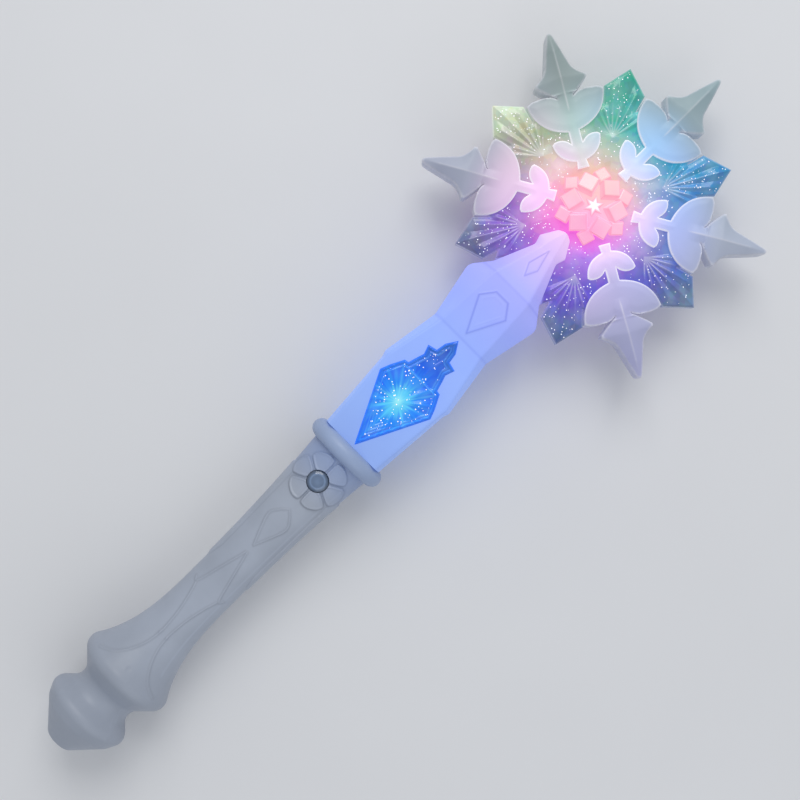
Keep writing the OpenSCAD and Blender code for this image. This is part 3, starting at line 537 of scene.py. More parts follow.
def front_relief(x, u, s):
    """Height of the flower, the kites and the lines over the front of the handle."""
    h = panel_relief(x, u, s)
    near = (np.abs(u - BUTTON_U) < 14) & (np.abs(x) < 13.4)
    px, pu = x[near], u[near] - BUTTON_U
    rise = np.zeros(px.shape)
    for k in range(6):
        d = depth_in(px, pu, spun(PETAL, 60 * k))
        rise = np.maximum(rise, s["petal_h"] * eased(d, -0.1, 0.4) - 0.3 * eased(d, 0.75, 1.25))
    fade = 1 - eased(u[near], COLLAR_U - 1.2, COLLAR_U - 0.2)
    h[near] = np.maximum(h[near], rise * fade)
    mid = (u > 40) & (u < 144) & (np.abs(x) < 18)
    ax, au = np.abs(x[mid]), u[mid]
    lines = bead(to_line(ax, au, smooth_line(KITE)), 1, s["line_w"])
    for path in (TENDRIL, STRAND):
        lines = np.maximum(lines, bead(to_line(ax, au, smooth_line(path)), 1, s["line_w"]))
    lines *= s["line_h"]
    lines += 0.3 * (1 - eased(np.hypot(ax - 1.9, au - 67), 0.3, 1.1))
    lines += 0.16 * eased(depth_in(ax, au, np.array(KITE[::-1] + [(-9, 120.3), (-9, 141.8)])), 0.2, 1.2)
    lines -= 0.16 * (1 - eased(np.hypot(ax, au - 48), 0.4, 1.6))
    h[mid] += lines
    low = (u > 15) & (u < 31)
    h[low] += bead(to_line(np.abs(x[low]), u[low], smooth_line(SIDE_LINE)), 0.22, 0.9)
    return h


def handle_painted_shade(x, u, z):
    """Where painted shade gathers: between the petals, beside the raised lines and along the panels' edges."""
    px, pu = x, u - BUTTON_U
    ring = np.full(x.shape, 9.0)
    for k in range(6):
        ring = np.minimum(ring, np.abs(depth_in(px, pu, spun(PETAL, 60 * k)) + 0.1))
    hit = bead(ring, 0.8, 0.8)
    for path in (KITE, TENDRIL, STRAND):
        hit = np.maximum(hit, bead(to_line(np.abs(x), u, smooth_line(path)) - 0.5, 0.5, 0.7))
    ends = eased(u, 103, 105) * (1 - eased(u, BUTTON_U - 5, BUTTON_U - 3))
    hit = np.maximum(hit, bead(np.abs(x) - lookup(u, PANEL_EDGE), 0.45, 0.6) * ends)
    return hit * (z > 4)


def handle_half(name, s, side, relief, steps, cols):
    """A closed half shell of the handle: side 1 is the front, -1 the rear."""
    line = handle_outline(s)
    parts = []
    for lo, hi, step in steps:
        some = line[(line[:, 1] >= lo - 1e-9) & (line[:, 1] <= hi + 1e-9)]
        parts.append(respaced(some, step))
    outer = np.concatenate([parts[0]] + [p[1:] if np.allclose(p[0], q[-1], atol=0.05) else p
                                         for q, p in zip(parts, parts[1:])])
    inner = moved_in(line, s["wall"])
    inner = respaced(inner[(inner[:, 0] > 1) & (inner[:, 1] < COLLAR_U - 3.5)], 1.8)
    neck = float(handle_radius(COLLAR_U - 2.5, s)) - s["wall"]
    ends = [(NECK_BORE, COLLAR_U), (NECK_BORE, COLLAR_U - 2.5), (neck, COLLAR_U - 2.5)]
    profile = np.concatenate([outer, ends, inner[::-1], [(0, s["wall"])]])
    a = np.linspace(0, math.pi, cols)
    r = np.repeat(profile[:, :1], cols, 1)
    u = np.repeat(profile[:, 1:], cols, 1)
    rise = relief((r * np.cos(a))[:len(outer)], u[:len(outer)], s)
    rise *= np.clip(r[:len(outer)] / 6, 0, 1)
    r[:len(outer)] = np.minimum(r[:len(outer)] + rise, RIM)
    return half_turned(name, r, u, a, side)


def handle_core(name, s, side, d):
    """The handle's half as a solid, d below its surface, to trim posts with."""
    line = moved_in(handle_outline(s), d)
    line = respaced(line[(line[:, 0] > 0.5) & (line[:, 1] < COLLAR_U - 1)], 1.2)
    profile = np.concatenate([[(0, line[0, 1])], line, [(0, line[-1, 1])]])
    cols = 61
    r, u = np.repeat(profile[:, :1], cols, 1), np.repeat(profile[:, 1:], cols, 1)
    return half_turned(name, r, u, np.linspace(0, math.pi, cols), side)


def shaft_tables():
    """The shaft's section along the wand: half width, half thickness, half of its flat face and its edge's height."""
    width = rounded_line([(SHAFT_U, 15.5), (SHAFT_U + 35.9, 18.2), (SHAFT_U + 38.6, 19.1), (DIP_U, 15.1),
                          (SHAFT_U + 89.6, 20.3, 5), (SHAFT_U + 98.1, 13.6, 6), (TIP_U - 12.1, 6.2, 3),
                          (TIP_U - 8.1, 7.6, 0.8), (TIP_U - 1, 3.4, 0.6), (TIP_U, 1.2)], 10)
    thick = [(SHAFT_U, 13), (DIP_U, 13), (CREASE_U, 15.3), (TIP_U - 12.1, 8), (TIP_U, 7.2)]
    face = [(SHAFT_U, 13.7), (SHAFT_U + 38.6, 17.3), (DIP_U, 11.7), (CREASE_U, 9.9), (TIP_U - 12.1, 3.8), (TIP_U, 0.5)]
    edge = [(SHAFT_U, 8), (DIP_U, 7.5), (CREASE_U, 7.3), (TIP_U - 12.1, 6), (TIP_U, 6)]
    return width, thick, face, edge


def eased_table(u, table, reach):
    """A table's value with its creases rounded over the given reach."""
    shift = np.linspace(-reach, reach, 7)
    lo, hi = table[0][0], table[-1][0]
    return np.mean([lookup(np.clip(u + d, lo, hi), table) for d in shift], 0)


def half_ring(w, t, b, e, flats):
    """Half of the shaft's section, from its right edge over the face to its left edge, with soft corners."""
    right = [(w, 0), (w, e, min(1.1, 0.4 * (t - e))), (b, t, min(1.6, 0.4 * b)), (0, t)]
    p0, p1, p2, p3 = [np.asarray(p[:2], float) for p in right]
    a1 = corner_arc(p0, p1, p2, right[1][2], 5)
    a2 = corner_arc(p1, p2, p3, right[2][2], 5)
    side = p0 + (a1[0] - p0) * (np.arange(4) / 4)[:, None]
    slope = a1[-1] + (a2[0] - a1[-1]) * ((np.arange(4) + 1) / 5)[:, None]
    flat = a2[-1] + (p3 - a2[-1]) * ((np.arange(flats) + 1) / flats)[:, None]
    half = np.concatenate([side, a1, slope, a2, flat])
    return np.concatenate([half, half[-2::-1] * (-1, 1)])


SHIELD = np.array([(3.4, 267.8), (7.8, 262), (0, 246.7), (-7.8, 262), (-3.4, 267.8)])[::-1]
FINGER_KITE = np.array([(0, 296.4), (2.5, 286.6), (0, 281.2), (-2.5, 286.6)])[::-1]


def shaft_relief(x, u):
    """Height of the shield and the kite over the shaft's face."""
    d = depth_in(x, u, SHIELD)
    h = bead(np.abs(d), 0.26, 0.9) + 0.14 * eased(d, 0.2, 0.9) + bead(np.abs(d - 1.9), 0.1, 0.7)
    k = depth_in(x, u, FINGER_KITE)
    return h + bead(np.abs(k), 0.22, 0.8) + 0.12 * eased(k, 0.2, 0.8)


def shaft_lines(x, u, z):
    """Where shade gathers on the shaft: at its drawn outlines and its creases."""
    hit = np.maximum(bead(depth_in(x, u, SHIELD), 0.9, 0.9), bead(depth_in(x, u, FINGER_KITE), 0.8, 0.8))
    for place in (DIP_U, CREASE_U):
        hit = np.maximum(hit, bead(u - place, 0.4, 1.2))
    return hit * (z > 6)


def shaft_half(name, side, flats, relief):
    """A solid half of the shaft, with the relief of its face where asked."""
    width, thick, face, edge = shaft_tables()
    rows = np.unique(np.concatenate([np.arange(SHAFT_U, TIP_U - 1, 0.42), np.linspace(TIP_U - 1.2, TIP_U, 6)]))
    rings = []
    for u in rows:
        w = float(eased_table(u, width, 0.35))
        t, b, e = (float(eased_table(u, k, 0.8)) for k in (thick, face, edge))
        ring = half_ring(w, t, min(b, w - 0.3), min(e, t - 0.3), flats)
        rings.append(np.column_stack([ring[:, 0], np.full(len(ring), u), ring[:, 1]]))
    rings = np.array(rings)
    if relief:
        x, u = rings[..., 0], rings[..., 1]
        flat = np.abs(x) < eased_table(u, face, 0.8) - 1
        rings[..., 2] += np.where(flat, shaft_relief(x, u), 0)
    rings[..., 2] *= side
    return lofted(name, rings)


def shaft_room(name, side, d, lo, hi):
    """The shaft's inside, d below its surface."""
    width, thick, face, edge = shaft_tables()
    rings = []
    for u in np.linspace(lo, hi, 40):
        w, t = float(lookup(u, width)) - d, float(lookup(u, thick)) - d
        b, e = float(lookup(u, face)) - 0.4 * d, float(lookup(u, edge)) - 0.4 * d
        b, e = min(b, w - 0.2), min(e, t - 0.2)
        rings.append([(x, u, z * side) for x, z in ((b, t), (w, e), (w, -1), (-w, -1), (-w, e), (-b, t))])
    return lofted(name, rings)


def gem_outline(s):
    """Right edge of the gem as (half width, place)."""
    w, n = s["gem_w"] / 2, s["gem_len"]
    return np.array([(0, 0), (w, 0.489 * n), (w - 1.6, 0.557 * n), (w - 4.6, 0.652 * n), (w - 6.4, 0.657 * n),
                     (w - 7.8, 0.735 * n), (w - 8.6, 0.773 * n), (w - 7.2, 0.838 * n), (3.7, 0.854 * n),
                     (3, 0.925 * n), (0, n)]) + (0, GEM_U)


def gem_loop(s):
    """Whole outline of the gem."""
    right = gem_outline(s)
    return np.concatenate([right, right[-2:0:-1] * (-1, 1)])


def flake_loop(s):
    """Outline of the snowflake's clear plate about its centre."""
    r = s["crystal_reach"]
    half = np.array([(r, 0), (r - 9.8, 9), (r - 17.4, 7), (r - 15, 10.6),
                     (r - 18.6, 11), (r - 17.4, 14.4), (r - 22, 15)])
    sector = np.concatenate([half[:0:-1] * (1, -1), half])
    return np.concatenate([spun(sector, 60 * k) for k in range(6)])


def tongue_loop(d=0.0):
    """Tongue and anchor of a clear plate, which the shaft holds."""
    lo, hi = SHAFT_U + 77 - d, SHAFT_U + 83.4 + d
    right = [(14.5 + d, lo), (14.5 + d, hi), (7 + d, hi), (7 + d, HUB_U - 30)]
    return np.array(right + [(-x, u) for x, u in right[::-1]])


def branch_loop(s):
    """Outline of a branch about the snowflake's centre, pointing along the wand."""
    reach, stem = s["arm_reach"], 2.4
    leaf, inner, head = s["leaf_w"] / 2, 10.5, s["head_w"] / 2
    lo, hi, neck = reach - 46.2, reach - 27.4, reach - 21
    half = np.concatenate([
        [(stem + 0.1, 16.9), (stem - 0.4, 20.2)],
        bow((stem - 0.4, 20.2), (inner - 1, 21.8), (inner, lo - 0.5), 14),
        bow((inner, lo), (stem + 3, lo + 2), (stem, lo - 2.2), 10),
        [(stem, lo + 3.4)],
        bow((stem, lo + 3.4), (leaf - 1.6, hi - 12.6), (leaf, hi - 0.6), 18),
        bow((leaf - 0.6, hi + 0.3), (stem + 4, hi + 2.4), (stem + 1, hi - 1), 12),
        [(stem + 1, hi - 0.4)],
        bow((stem + 1, hi - 0.4), (head - 3, neck - 3.4), (head, neck - 0.5), 8),
        [(head, neck + 0.6)],
        bow((head, neck + 0.6), (5.6, neck + 3.4), (4.9, neck + 8), 8),
        [(1.3, reach - 1.5), (0.8, reach - 0.4), (0, reach)],
    ])
    return np.concatenate([half, half[-2::-1] * (-1, 1)])


# Materials


class Nodes:
    """A material's node tree with short calls."""

    def __init__(self, name):
        self.mat = bpy.data.materials.new(name)
        self.mat.use_nodes = True
        self.tree = self.mat.node_tree
        self.tree.nodes.clear()
        self.out = self.tree.nodes.new("ShaderNodeOutputMaterial")
        self.shader = self.tree.nodes.new("ShaderNodeBsdfPrincipled")
        self.link(self.shader.outputs[0], self.out.inputs["Surface"])
        self.where = self.tree.nodes.new("ShaderNodeTexCoord").outputs["Object"]

    def link(self, a, b):
        self.tree.links.new(a, b)

    def node(self, kind, inputs=(), **settings):
        n = self.tree.nodes.new(kind)
        for key, value in settings.items():
            setattr(n, key, value)
        for key, value in dict(inputs).items():
            if isinstance(value, bpy.types.NodeSocket):
                self.link(value, n.inputs[key])
            else:
                n.inputs[key].default_value = value
        return n

    def math(self, op, a, b=0.0):
        return self.node("ShaderNodeMath", {0: a, 1: b}, operation=op).outputs[0]

    def axes(self, vector):
        return self.node("ShaderNodeSeparateXYZ", {0: vector}).outputs

    def about(self, u):
        """Millimetres across and along, from a place along the wand."""
        n = self.node("ShaderNodeMapping", {"Vector": self.where})
        n.inputs["Location"].default_value = (0, -metres(u) * 1000, 0)
        n.inputs["Scale"].default_value = (1000, 1000, 1000)
        return self.axes(n.outputs[0])[:2]

    def distance(self, x, y):
        return self.math("SQRT", self.math("ADD", self.math("MULTIPLY", x, x), self.math("MULTIPLY", y, y)))

    def noise(self, scale, detail=2.0, rough=0.5, vector=None):
        n = self.node("ShaderNodeTexNoise", {"Scale": scale, "Detail": detail, "Roughness": rough})
        self.link(vector or self.where, n.inputs["Vector"])
        return n.outputs["Fac"]

    def ramp(self, factor, stops, ease="LINEAR"):
        n = self.node("ShaderNodeValToRGB", {0: factor})
        bar = n.color_ramp
        bar.interpolation = ease
        while len(bar.elements) < len(stops):
            bar.elements.new(0.5)
        for element, (at, rgb) in zip(bar.elements, stops):
            element.position = at
            element.color = (*rgb, 1)
        return n.outputs[0]

    def tones(self, factor, *stops, ease="LINEAR"):
        """A ramp through screen colours, each given as (place, red, green, blue)."""
        return self.ramp(factor, [(at, linear(*rgb)) for at, *rgb in stops], ease)

    def wheel(self, turn, *stops):
        """Screen colours round the snowflake, which end on the first one."""
        return self.tones(turn, *stops, (1.0, *stops[0][1:]))

    def mix(self, factor, a, b, blend="MIX"):
        n = self.node("ShaderNodeMix", data_type="RGBA", blend_type=blend)
        for key, value in ((0, factor), (6, a), (7, b)):
            if isinstance(value, bpy.types.NodeSocket):
                self.link(value, n.inputs[key])
            else:
                n.inputs[key].default_value = (*value, 1) if isinstance(value, tuple) else value
        return n.outputs[2]

    def range(self, value, lo, hi, to_lo=0.0, to_hi=1.0, smooth=False):
        n = self.node("ShaderNodeMapRange", {0: value, 1: lo, 2: hi, 3: to_lo, 4: to_hi})
        if smooth:
            n.interpolation_type = "SMOOTHSTEP"
        return n.outputs[0]

    def lines(self, share=1.0):
        """Strength of the lines stored on the piece, along which light and shade are painted."""
        return self.math("MULTIPLY", self.node("ShaderNodeAttribute", attribute_name="lines").outputs["Fac"], share)

    def upright(self):
        """How far a surface lies flat on the wand's face, from 0 to 1."""
        return self.math("ABSOLUTE", self.axes(self.tree.nodes.new("ShaderNodeNewGeometry").outputs["True Normal"])[2])

    def facing(self, lo, hi):
        """Painted light and shade: brighter on slopes that face up along the left side, darker on the others."""
        n = self.node("ShaderNodeTexCoord").outputs["Normal"]
        lean = self.node("ShaderNodeVectorMath", {0: n, 1: (-0.6, 0.8, 0.0)}, operation="DOT_PRODUCT").outputs["Value"]
        return self.range(lean, -0.7, 0.7, lo, hi)

    def edges(self, lo, hi, share):
        """Strength of a tint on outer edges."""
        return self.range(self.node("ShaderNodeNewGeometry").outputs["Pointiness"], lo, hi, 0.0, share, smooth=True)

    def cloudy(self, tint, share, scale, detail=2.0, spread=0.2):
        """A colour with faint clouds in it."""
        grey = [(0.3, (0.5 - spread,) * 3), (0.7, (0.5 + spread,) * 3)]
        return self.mix(share, tint, self.ramp(self.noise(scale, detail), grey), "SOFT_LIGHT")

    def uneven(self, lo, hi, scale, detail=2.0):
        """Roughness that wanders between two values."""
        self.set(Roughness=self.range(self.noise(scale, detail), 0.3, 0.7, lo, hi))

    def bump(self, height, strength, distance):
        n = self.node("ShaderNodeBump", {"Height": height, "Strength": strength, "Distance": distance})
        self.link(n.outputs[0], self.shader.inputs["Normal"])

    def set(self, **values):
        for key, value in values.items():
            socket = self.shader.inputs[key.replace("_", " ")]
            if isinstance(value, bpy.types.NodeSocket):
                self.link(value, socket)
            else:
                socket.default_value = (*value, 1) if isinstance(value, tuple) else value


def times(rgb, k):
    """A colour made darker or brighter."""
    return tuple(min(1.0, c * k) for c in rgb)


def plastic(name, rgb, rough=0.42, grain=1400.0, bump=0.06, coat=0.0, worn=0.05):
    """Moulded plastic: faint cloudy colour, fine grain, edges rubbed a little paler, and painted shade along the lines
    stored on the piece.
    """
    m = Nodes(name)
    tint = m.ramp(m.noise(55.0, 3.0), [(0.3, times(rgb, 0.94)), (0.7, times(rgb, 1.06))])
    tint = m.mix(m.edges(0.51, 0.56, worn * 8), tint, times(rgb, 1 + 2.5 * worn))
    # painted shade: half as bright along the stored lines, in the grooves and creases
    m.set(Base_Color=m.mix(m.lines(0.5), tint, times(rgb, 0.5)))
    m.uneven(rough - 0.05, rough + 0.07, 320.0, 4.0)
    m.set(Specular_IOR_Level=0.42, Coat_Weight=coat, Coat_Roughness=0.2)
    m.bump(m.noise(grain, 3.0, 0.6), bump, 0.0003)
    return m


def grip_finish(name, rgb):
    """Satin plastic, a little deeper at the pommel, that catches blue light near the collar."""
    m = plastic(name, rgb, 0.42, worn=0.06)
    base = m.shader.inputs["Base Color"].links[0].from_socket
    y = m.axes(m.where)[1]
    deep = m.range(y, metres(40), metres(72), 0.55, 0.0, smooth=True)
    blue = m.range(y, metres(COLLAR_U - 24), metres(COLLAR_U), 0.0, 0.5, smooth=True)
    m.set(Base_Color=m.mix(blue, m.mix(deep, base, times(rgb, 0.8)), linear(128, 156, 212)))
    return m


def metal(name, rgb, rough=0.28):
    """Brushed metal, with its streaks along the wand."""
    m = Nodes(name)
    drawn_out = m.node("ShaderNodeMapping", {"Vector": m.where, "Scale": (1, 0.08, 1)}).outputs[0]
    streak = m.noise(900.0, 3.0, 0.6, drawn_out)
    m.set(Base_Color=m.ramp(streak, [(0.3, times(rgb, 0.82)), (0.7, times(rgb, 1.12))]), Metallic=1.0)
    m.set(Roughness=m.range(streak, 0.3, 0.7, rough - 0.06, rough + 0.12))
    m.bump(streak, 0.08, 0.0002)
    return m


def glow(m, tint, body, strength, lo=0.72, hi=1.28):
    """Paints lighter and darker slopes into a lit colour as painted light and shade, then splits it between what it
    reflects and what shines through it as a painted glow.
    """
    tint = m.mix(1.0, tint, m.facing(lo, hi), "MULTIPLY")
    m.set(Base_Color=m.mix(1.0, tint, (body, body, body), "MULTIPLY"), Emission_Color=tint, Emission_Strength=strength)


def metres(u):
    """A place along the wand as a coordinate of the frame."""
    return (u + FOOT) / 1000


def around_hub(m):
    """Angle about the snowflake's centre from 0 to 1, and distance in millimetres.

    The angle starts on the wand's left and runs by the shaft, the right and the far end."""
    x, y = m.about(HUB_U)
    turn = m.math("DIVIDE", m.math("ARCTAN2", y, x), 2 * math.pi)
    return m.math("ADD", turn, 0.5), m.distance(x, y)


def lit_flake(name):
    """Clear plastic lit from the centre by slowly changing lights."""
    m = Nodes(name)
    turn, far = around_hub(m)
    turn = m.math("ADD", turn, m.range(m.noise(60.0, 2.0), 0.3, 0.7, -0.015, 0.015))
    ring = m.wheel(turn, (0.0, 255, 188, 190), (0.2, 255, 116, 228), (0.36, 244, 112, 240), (0.5, 242, 156, 236),
                   (0.667, 242, 196, 206), (0.833, 242, 200, 184))
    near = m.wheel(turn, (0.0, 255, 214, 220), (0.167, 246, 128, 228), (0.333, 188, 128, 244), (0.5, 204, 160, 240),
                   (0.667, 196, 194, 228), (0.833, 206, 206, 192))
    mid = m.wheel(turn, (0.0, 224, 222, 176), (0.09, 176, 140, 214), (0.167, 160, 108, 226), (0.25, 146, 102, 236),
                  (0.333, 126, 106, 224), (0.417, 110, 100, 232), (0.5, 108, 118, 210), (0.583, 84, 142, 226),
                  (0.667, 74, 176, 230), (0.75, 46, 204, 220), (0.833, 88, 222, 190), (0.917, 160, 222, 176))
    tip = m.wheel(turn, (0.0, 206, 220, 188), (0.09, 140, 150, 160), (0.167, 98, 98, 152), (0.333, 72, 94, 156),
                  (0.5, 86, 114, 158), (0.667, 46, 132, 188), (0.833, 42, 158, 142), (0.93, 140, 188, 160))
    mid = m.mix(1.0, mid, (0.66, 0.66, 0.78), "MULTIPLY")
    lit = m.mix(m.range(far, 15.0, 24.0, smooth=True), ring, near)
    lit = m.mix(m.range(far, 19.0, 38.0, smooth=True), lit, mid)
    lit = m.mix(m.range(far, 40.0, 55.0, smooth=True), lit, tip)
    spark = m.node("ShaderNodeTexVoronoi", {"Scale": 420.0, "Vector": m.where}).outputs["Color"]
    facets = m.node("ShaderNodeTexVoronoi", {"Scale": 130.0, "Vector": m.where}).outputs["Distance"]
    lit = m.mix(0.16, lit, spark, "SOFT_LIGHT")
    # painted glints: soft pale spots at the middle of each cell of the plate
    lit = m.mix(m.range(facets, 0.1, 0.7, 0.12, 0.0), lit, linear(226, 240, 255), "SCREEN")
    # painted light along the crystals' fan lines and the plate's outer rim
    lit = m.mix(m.lines(0.62), lit, (0.44, 0.44, 0.5), "SCREEN")
    glow(m, lit, 0.38, 0.6)
    m.uneven(0.12, 0.26, 300.0)
    m.set(IOR=1.49, Coat_Weight=0.35, Coat_Roughness=0.08)
    m.bump(m.noise(260.0, 3.0), 0.12, 0.0006)
    return m


def lit_rosette(name):
    """Clear blocks lit pink, with a white star of light in the middle."""
    m = Nodes(name)
    turn, far = around_hub(m)
    ring = m.wheel(turn, (0.0, 255, 194, 206), (0.167, 255, 184, 216), (0.333, 255, 166, 210), (0.5, 255, 188, 218),
                   (0.667, 255, 194, 208), (0.833, 255, 198, 200))
    # painted light: the blocks' steep sides glow a deeper pink than their tops
    side = m.range(m.upright(), 0.62, 0.95, 0.55, 0.0, smooth=True)
    ring = m.mix(side, ring, linear(255, 146, 180))
    # the glow reaches furthest along the six rays of the star
    valley = m.math("PINGPONG", m.math("MULTIPLY", turn, 12.0), 1.0)
    reach = m.math("MULTIPLY", far, m.math("ADD", m.math("MULTIPLY", valley, 1.3), 1.0))
    core = m.mix(m.range(reach, 1.2, 5.4, smooth=True), linear(255, 250, 255), ring)
    core = m.mix(m.range(m.noise(160.0, 2.0), 0.35, 0.7, 0.0, 0.12), core, linear(255, 236, 244))
    glow(m, core, 0.3, m.range(reach, 0.9, 5.0, 1.08, 0.8, smooth=True), 0.88, 1.1)
    m.uneven(0.16, 0.3, 300.0)
    m.set(IOR=1.49, Coat_Weight=0.2, Coat_Roughness=0.1)
    return m


def lit_branch(name, rgb):
    """White plastic that catches the plate's light near the centre."""
    m = Nodes(name)
    turn, far = around_hub(m)
    hot = m.wheel(turn, (0.0, 255, 204, 252), (0.083, 255, 200, 252), (0.2, 252, 208, 254), (0.417, 238, 208, 254),
                  (0.583, 236, 210, 254), (0.75, 224, 224, 252), (0.917, 224, 214, 218))
    glowing = m.wheel(turn, (0.0, 228, 208, 220), (0.083, 232, 202, 232), (0.2, 226, 194, 240), (0.417, 186, 182, 226),
                      (0.583, 176, 190, 244), (0.75, 164, 206, 250), (0.917, 180, 206, 204))
    # painted coloured light: far out, the plates' glow tints the white plastic differently round the hub
    plain = m.ramp(turn, [(0.0, rgb), (0.2, linear(176, 174, 204)), (0.417, linear(178, 180, 218)),
                          (0.583, linear(184, 193, 213)), (0.75, linear(158, 180, 187)), (0.917, linear(153, 168, 168)),
                          (1.0, rgb)])
    tint = m.mix(m.range(far, 17.0, 36.0, smooth=True), hot, glowing)
    tint = m.mix(m.range(far, 36.0, 58.0, smooth=True), tint, plain)
    tint = m.cloudy(tint, 0.1, 70.0, 3.0, 0.15)
    # painted highlight: the branches' edges lightened almost to white
    tint = m.mix(m.edges(0.51, 0.58, 0.4), tint, linear(244, 246, 255))
    # painted highlight: the outline and the ridge lightened to white, more strongly near the centre
    near = m.range(far, 24.0, 56.0, 0.8, 0.24, smooth=True)
    tint = m.mix(m.math("MULTIPLY", m.lines(), near), tint, linear(255, 250, 255))
    glow(m, tint, 0.83, m.range(far, 20.0, 60.0, 0.36, 0.07, smooth=True), 0.9, 1.12)
    m.uneven(0.36, 0.48, 320.0, 4.0)
    m.set(Specular_IOR_Level=0.42)
    m.bump(m.noise(1300.0, 3.0), 0.06, 0.0003)
    return m


def lit_shaft(name):
    """Milky plastic lit from inside, blue at the gem and pink towards the snowflake."""
    m = Nodes(name)
    along = m.range(m.axes(m.where)[1], metres(SHAFT_U), metres(TIP_U))
    tint = m.tones(along, (0.0, 142, 172, 236), (0.2, 146, 178, 248), (0.45, 150, 178, 253), (0.62, 158, 174, 254),
                   (0.76, 172, 176, 254), (0.88, 206, 186, 250), (1.0, 244, 204, 248))
    tint = m.cloudy(tint, 0.12, 42.0, 3.0)
    # painted shade along the shaft's drawn outlines and creases
    tint = m.mix(m.lines(0.8), tint, (0.6, 0.62, 0.84), "MULTIPLY")
    glow(m, tint, 0.62, 0.48, 0.92, 1.08)
    m.uneven(0.34, 0.46, 320.0, 4.0)
    m.set(Specular_IOR_Level=0.42)
    m.bump(m.noise(1200.0, 3.0), 0.05, 0.0003)
    return m


def lit_gem(name):
    """Clear blue plastic with a bright spot over its light."""
    m = Nodes(name)
    x, y = m.about(GEM_SPOT_U)
    rays = m.noise(5.0, 2.0, 0.5, m.node("ShaderNodeCombineXYZ", {0: m.math("ARCTAN2", x, y)}).outputs[0])
    far = m.math("MULTIPLY", m.distance(x, m.math("MULTIPLY", y, 0.72)), m.range(rays, 0.35, 0.65, 0.7, 1.35))
    tint = m.tones(m.math("DIVIDE", far, 22.0), (0.0, 150, 240, 255), (0.14, 84, 206, 255), (0.34, 28, 140, 252),
                   (0.62, 14, 104, 248), (1.0, 24, 88, 230), ease="EASE")
    # painted shade: a deeper blue further up the gem, away from its light
    tint = m.mix(m.range(y, 8.0, 36.0, 0.0, 0.8, smooth=True), tint, linear(36, 80, 186))
    # painted glints: soft pale spots at the middle of each cell of the gem
    cells = m.node("ShaderNodeTexVoronoi", {"Scale": 150.0, "Vector": m.where}).outputs["Distance"]
    tint = m.mix(m.range(cells, 0.08, 0.6, 0.12, 0.0), tint, linear(150, 216, 255), "SCREEN")
    tint = m.mix(m.edges(0.5, 0.56, 0.6), tint, linear(40, 124, 248))
    # painted light along the gem's drawn lines
    tint = m.mix(m.lines(0.3), tint, linear(110, 200, 255), "SCREEN")
    glow(m, tint, 0.24, 0.74)
    m.uneven(0.08, 0.2, 300.0)
    m.set(IOR=1.5, Coat_Weight=0.2, Coat_Roughness=0.05)
    m.bump(m.noise(240.0, 2.0), 0.1, 0.0005)
    return m


def clear_cap(name, rgb):
    """The button's clear cap with its pale ring and dark middle."""
    m = Nodes(name)
    share = m.math("DIVIDE", m.distance(*m.about(BUTTON_U)), 5.0)
    tint = m.ramp(share, [(0.0, times(rgb, 1.15)), (0.5, times(rgb, 0.95)), (0.62, times(rgb, 1.4)),
                          (0.74, times(rgb, 0.8)), (0.9, times(rgb, 0.45)), (1.0, times(rgb, 0.3))])
    m.uneven(0.08, 0.16, 500.0)
    m.set(Base_Color=m.cloudy(tint, 0.2, 500.0), IOR=1.49, Coat_Weight=0.6, Coat_Roughness=0.04)
    m.bump(m.noise(600.0), 0.05, 0.0002)
    return m


def speck_finish(name):
    """Glitter that sparkles white, blue and pink."""
    m = Nodes(name)
    tone = m.noise(2600.0, 1.0)
    tint = m.tones(tone, (0.3, 214, 228, 255), (0.5, 255, 255, 255), (0.7, 255, 226, 250))
    m.set(Base_Color=tint, Metallic=0.6, Roughness=m.range(tone, 0.3, 0.7, 0.12, 0.3))
    # painted glow: the specks shine by themselves, standing in for their sparkle
    m.set(Emission_Color=tint, Emission_Strength=0.62)
    return m


def board_finish(name):
    """A circuit board's green mask over its tracks."""
    m = Nodes(name)
    tracks = m.node("ShaderNodeTexBrick", {"Vector": m.where, "Scale": 260.0, "Mortar Size": 0.03,
                                           "Color1": (*linear(24, 96, 58), 1), "Color2": (*linear(28, 108, 64), 1),
                                           "Mortar": (*linear(120, 150, 90), 1)})
    mask = m.tones(m.noise(400.0), (0.3, 16, 70, 44), (0.7, 40, 120, 72))
    m.set(Base_Color=m.mix(0.25, tracks.outputs["Color"], mask))
    m.uneven(0.3, 0.45, 200.0)
    m.bump(tracks.outputs["Fac"], 0.15, 0.0002)
    return m


def cell_finish(name):
    """A cell's printed sleeve: plain bands, no words."""
    m = Nodes(name)
    lo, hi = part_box("battery_lower")
    along = m.math("SUBTRACT", m.axes(m.where)[1], lo.y)
    share = m.math("FRACT", m.math("DIVIDE", along, hi.y - lo.y))
    bands = m.tones(share, (0.0, 52, 54, 60), (0.66, 60, 62, 68), (0.68, 206, 160, 88), (0.93, 214, 170, 98),
                    (0.95, 190, 192, 196), (1.0, 200, 202, 206))
    m.set(Base_Color=m.cloudy(bands, 0.12, 600.0), Metallic=0.55)
    m.uneven(0.22, 0.36, 260.0)
    m.bump(m.noise(900.0), 0.04, 0.0002)
    return m


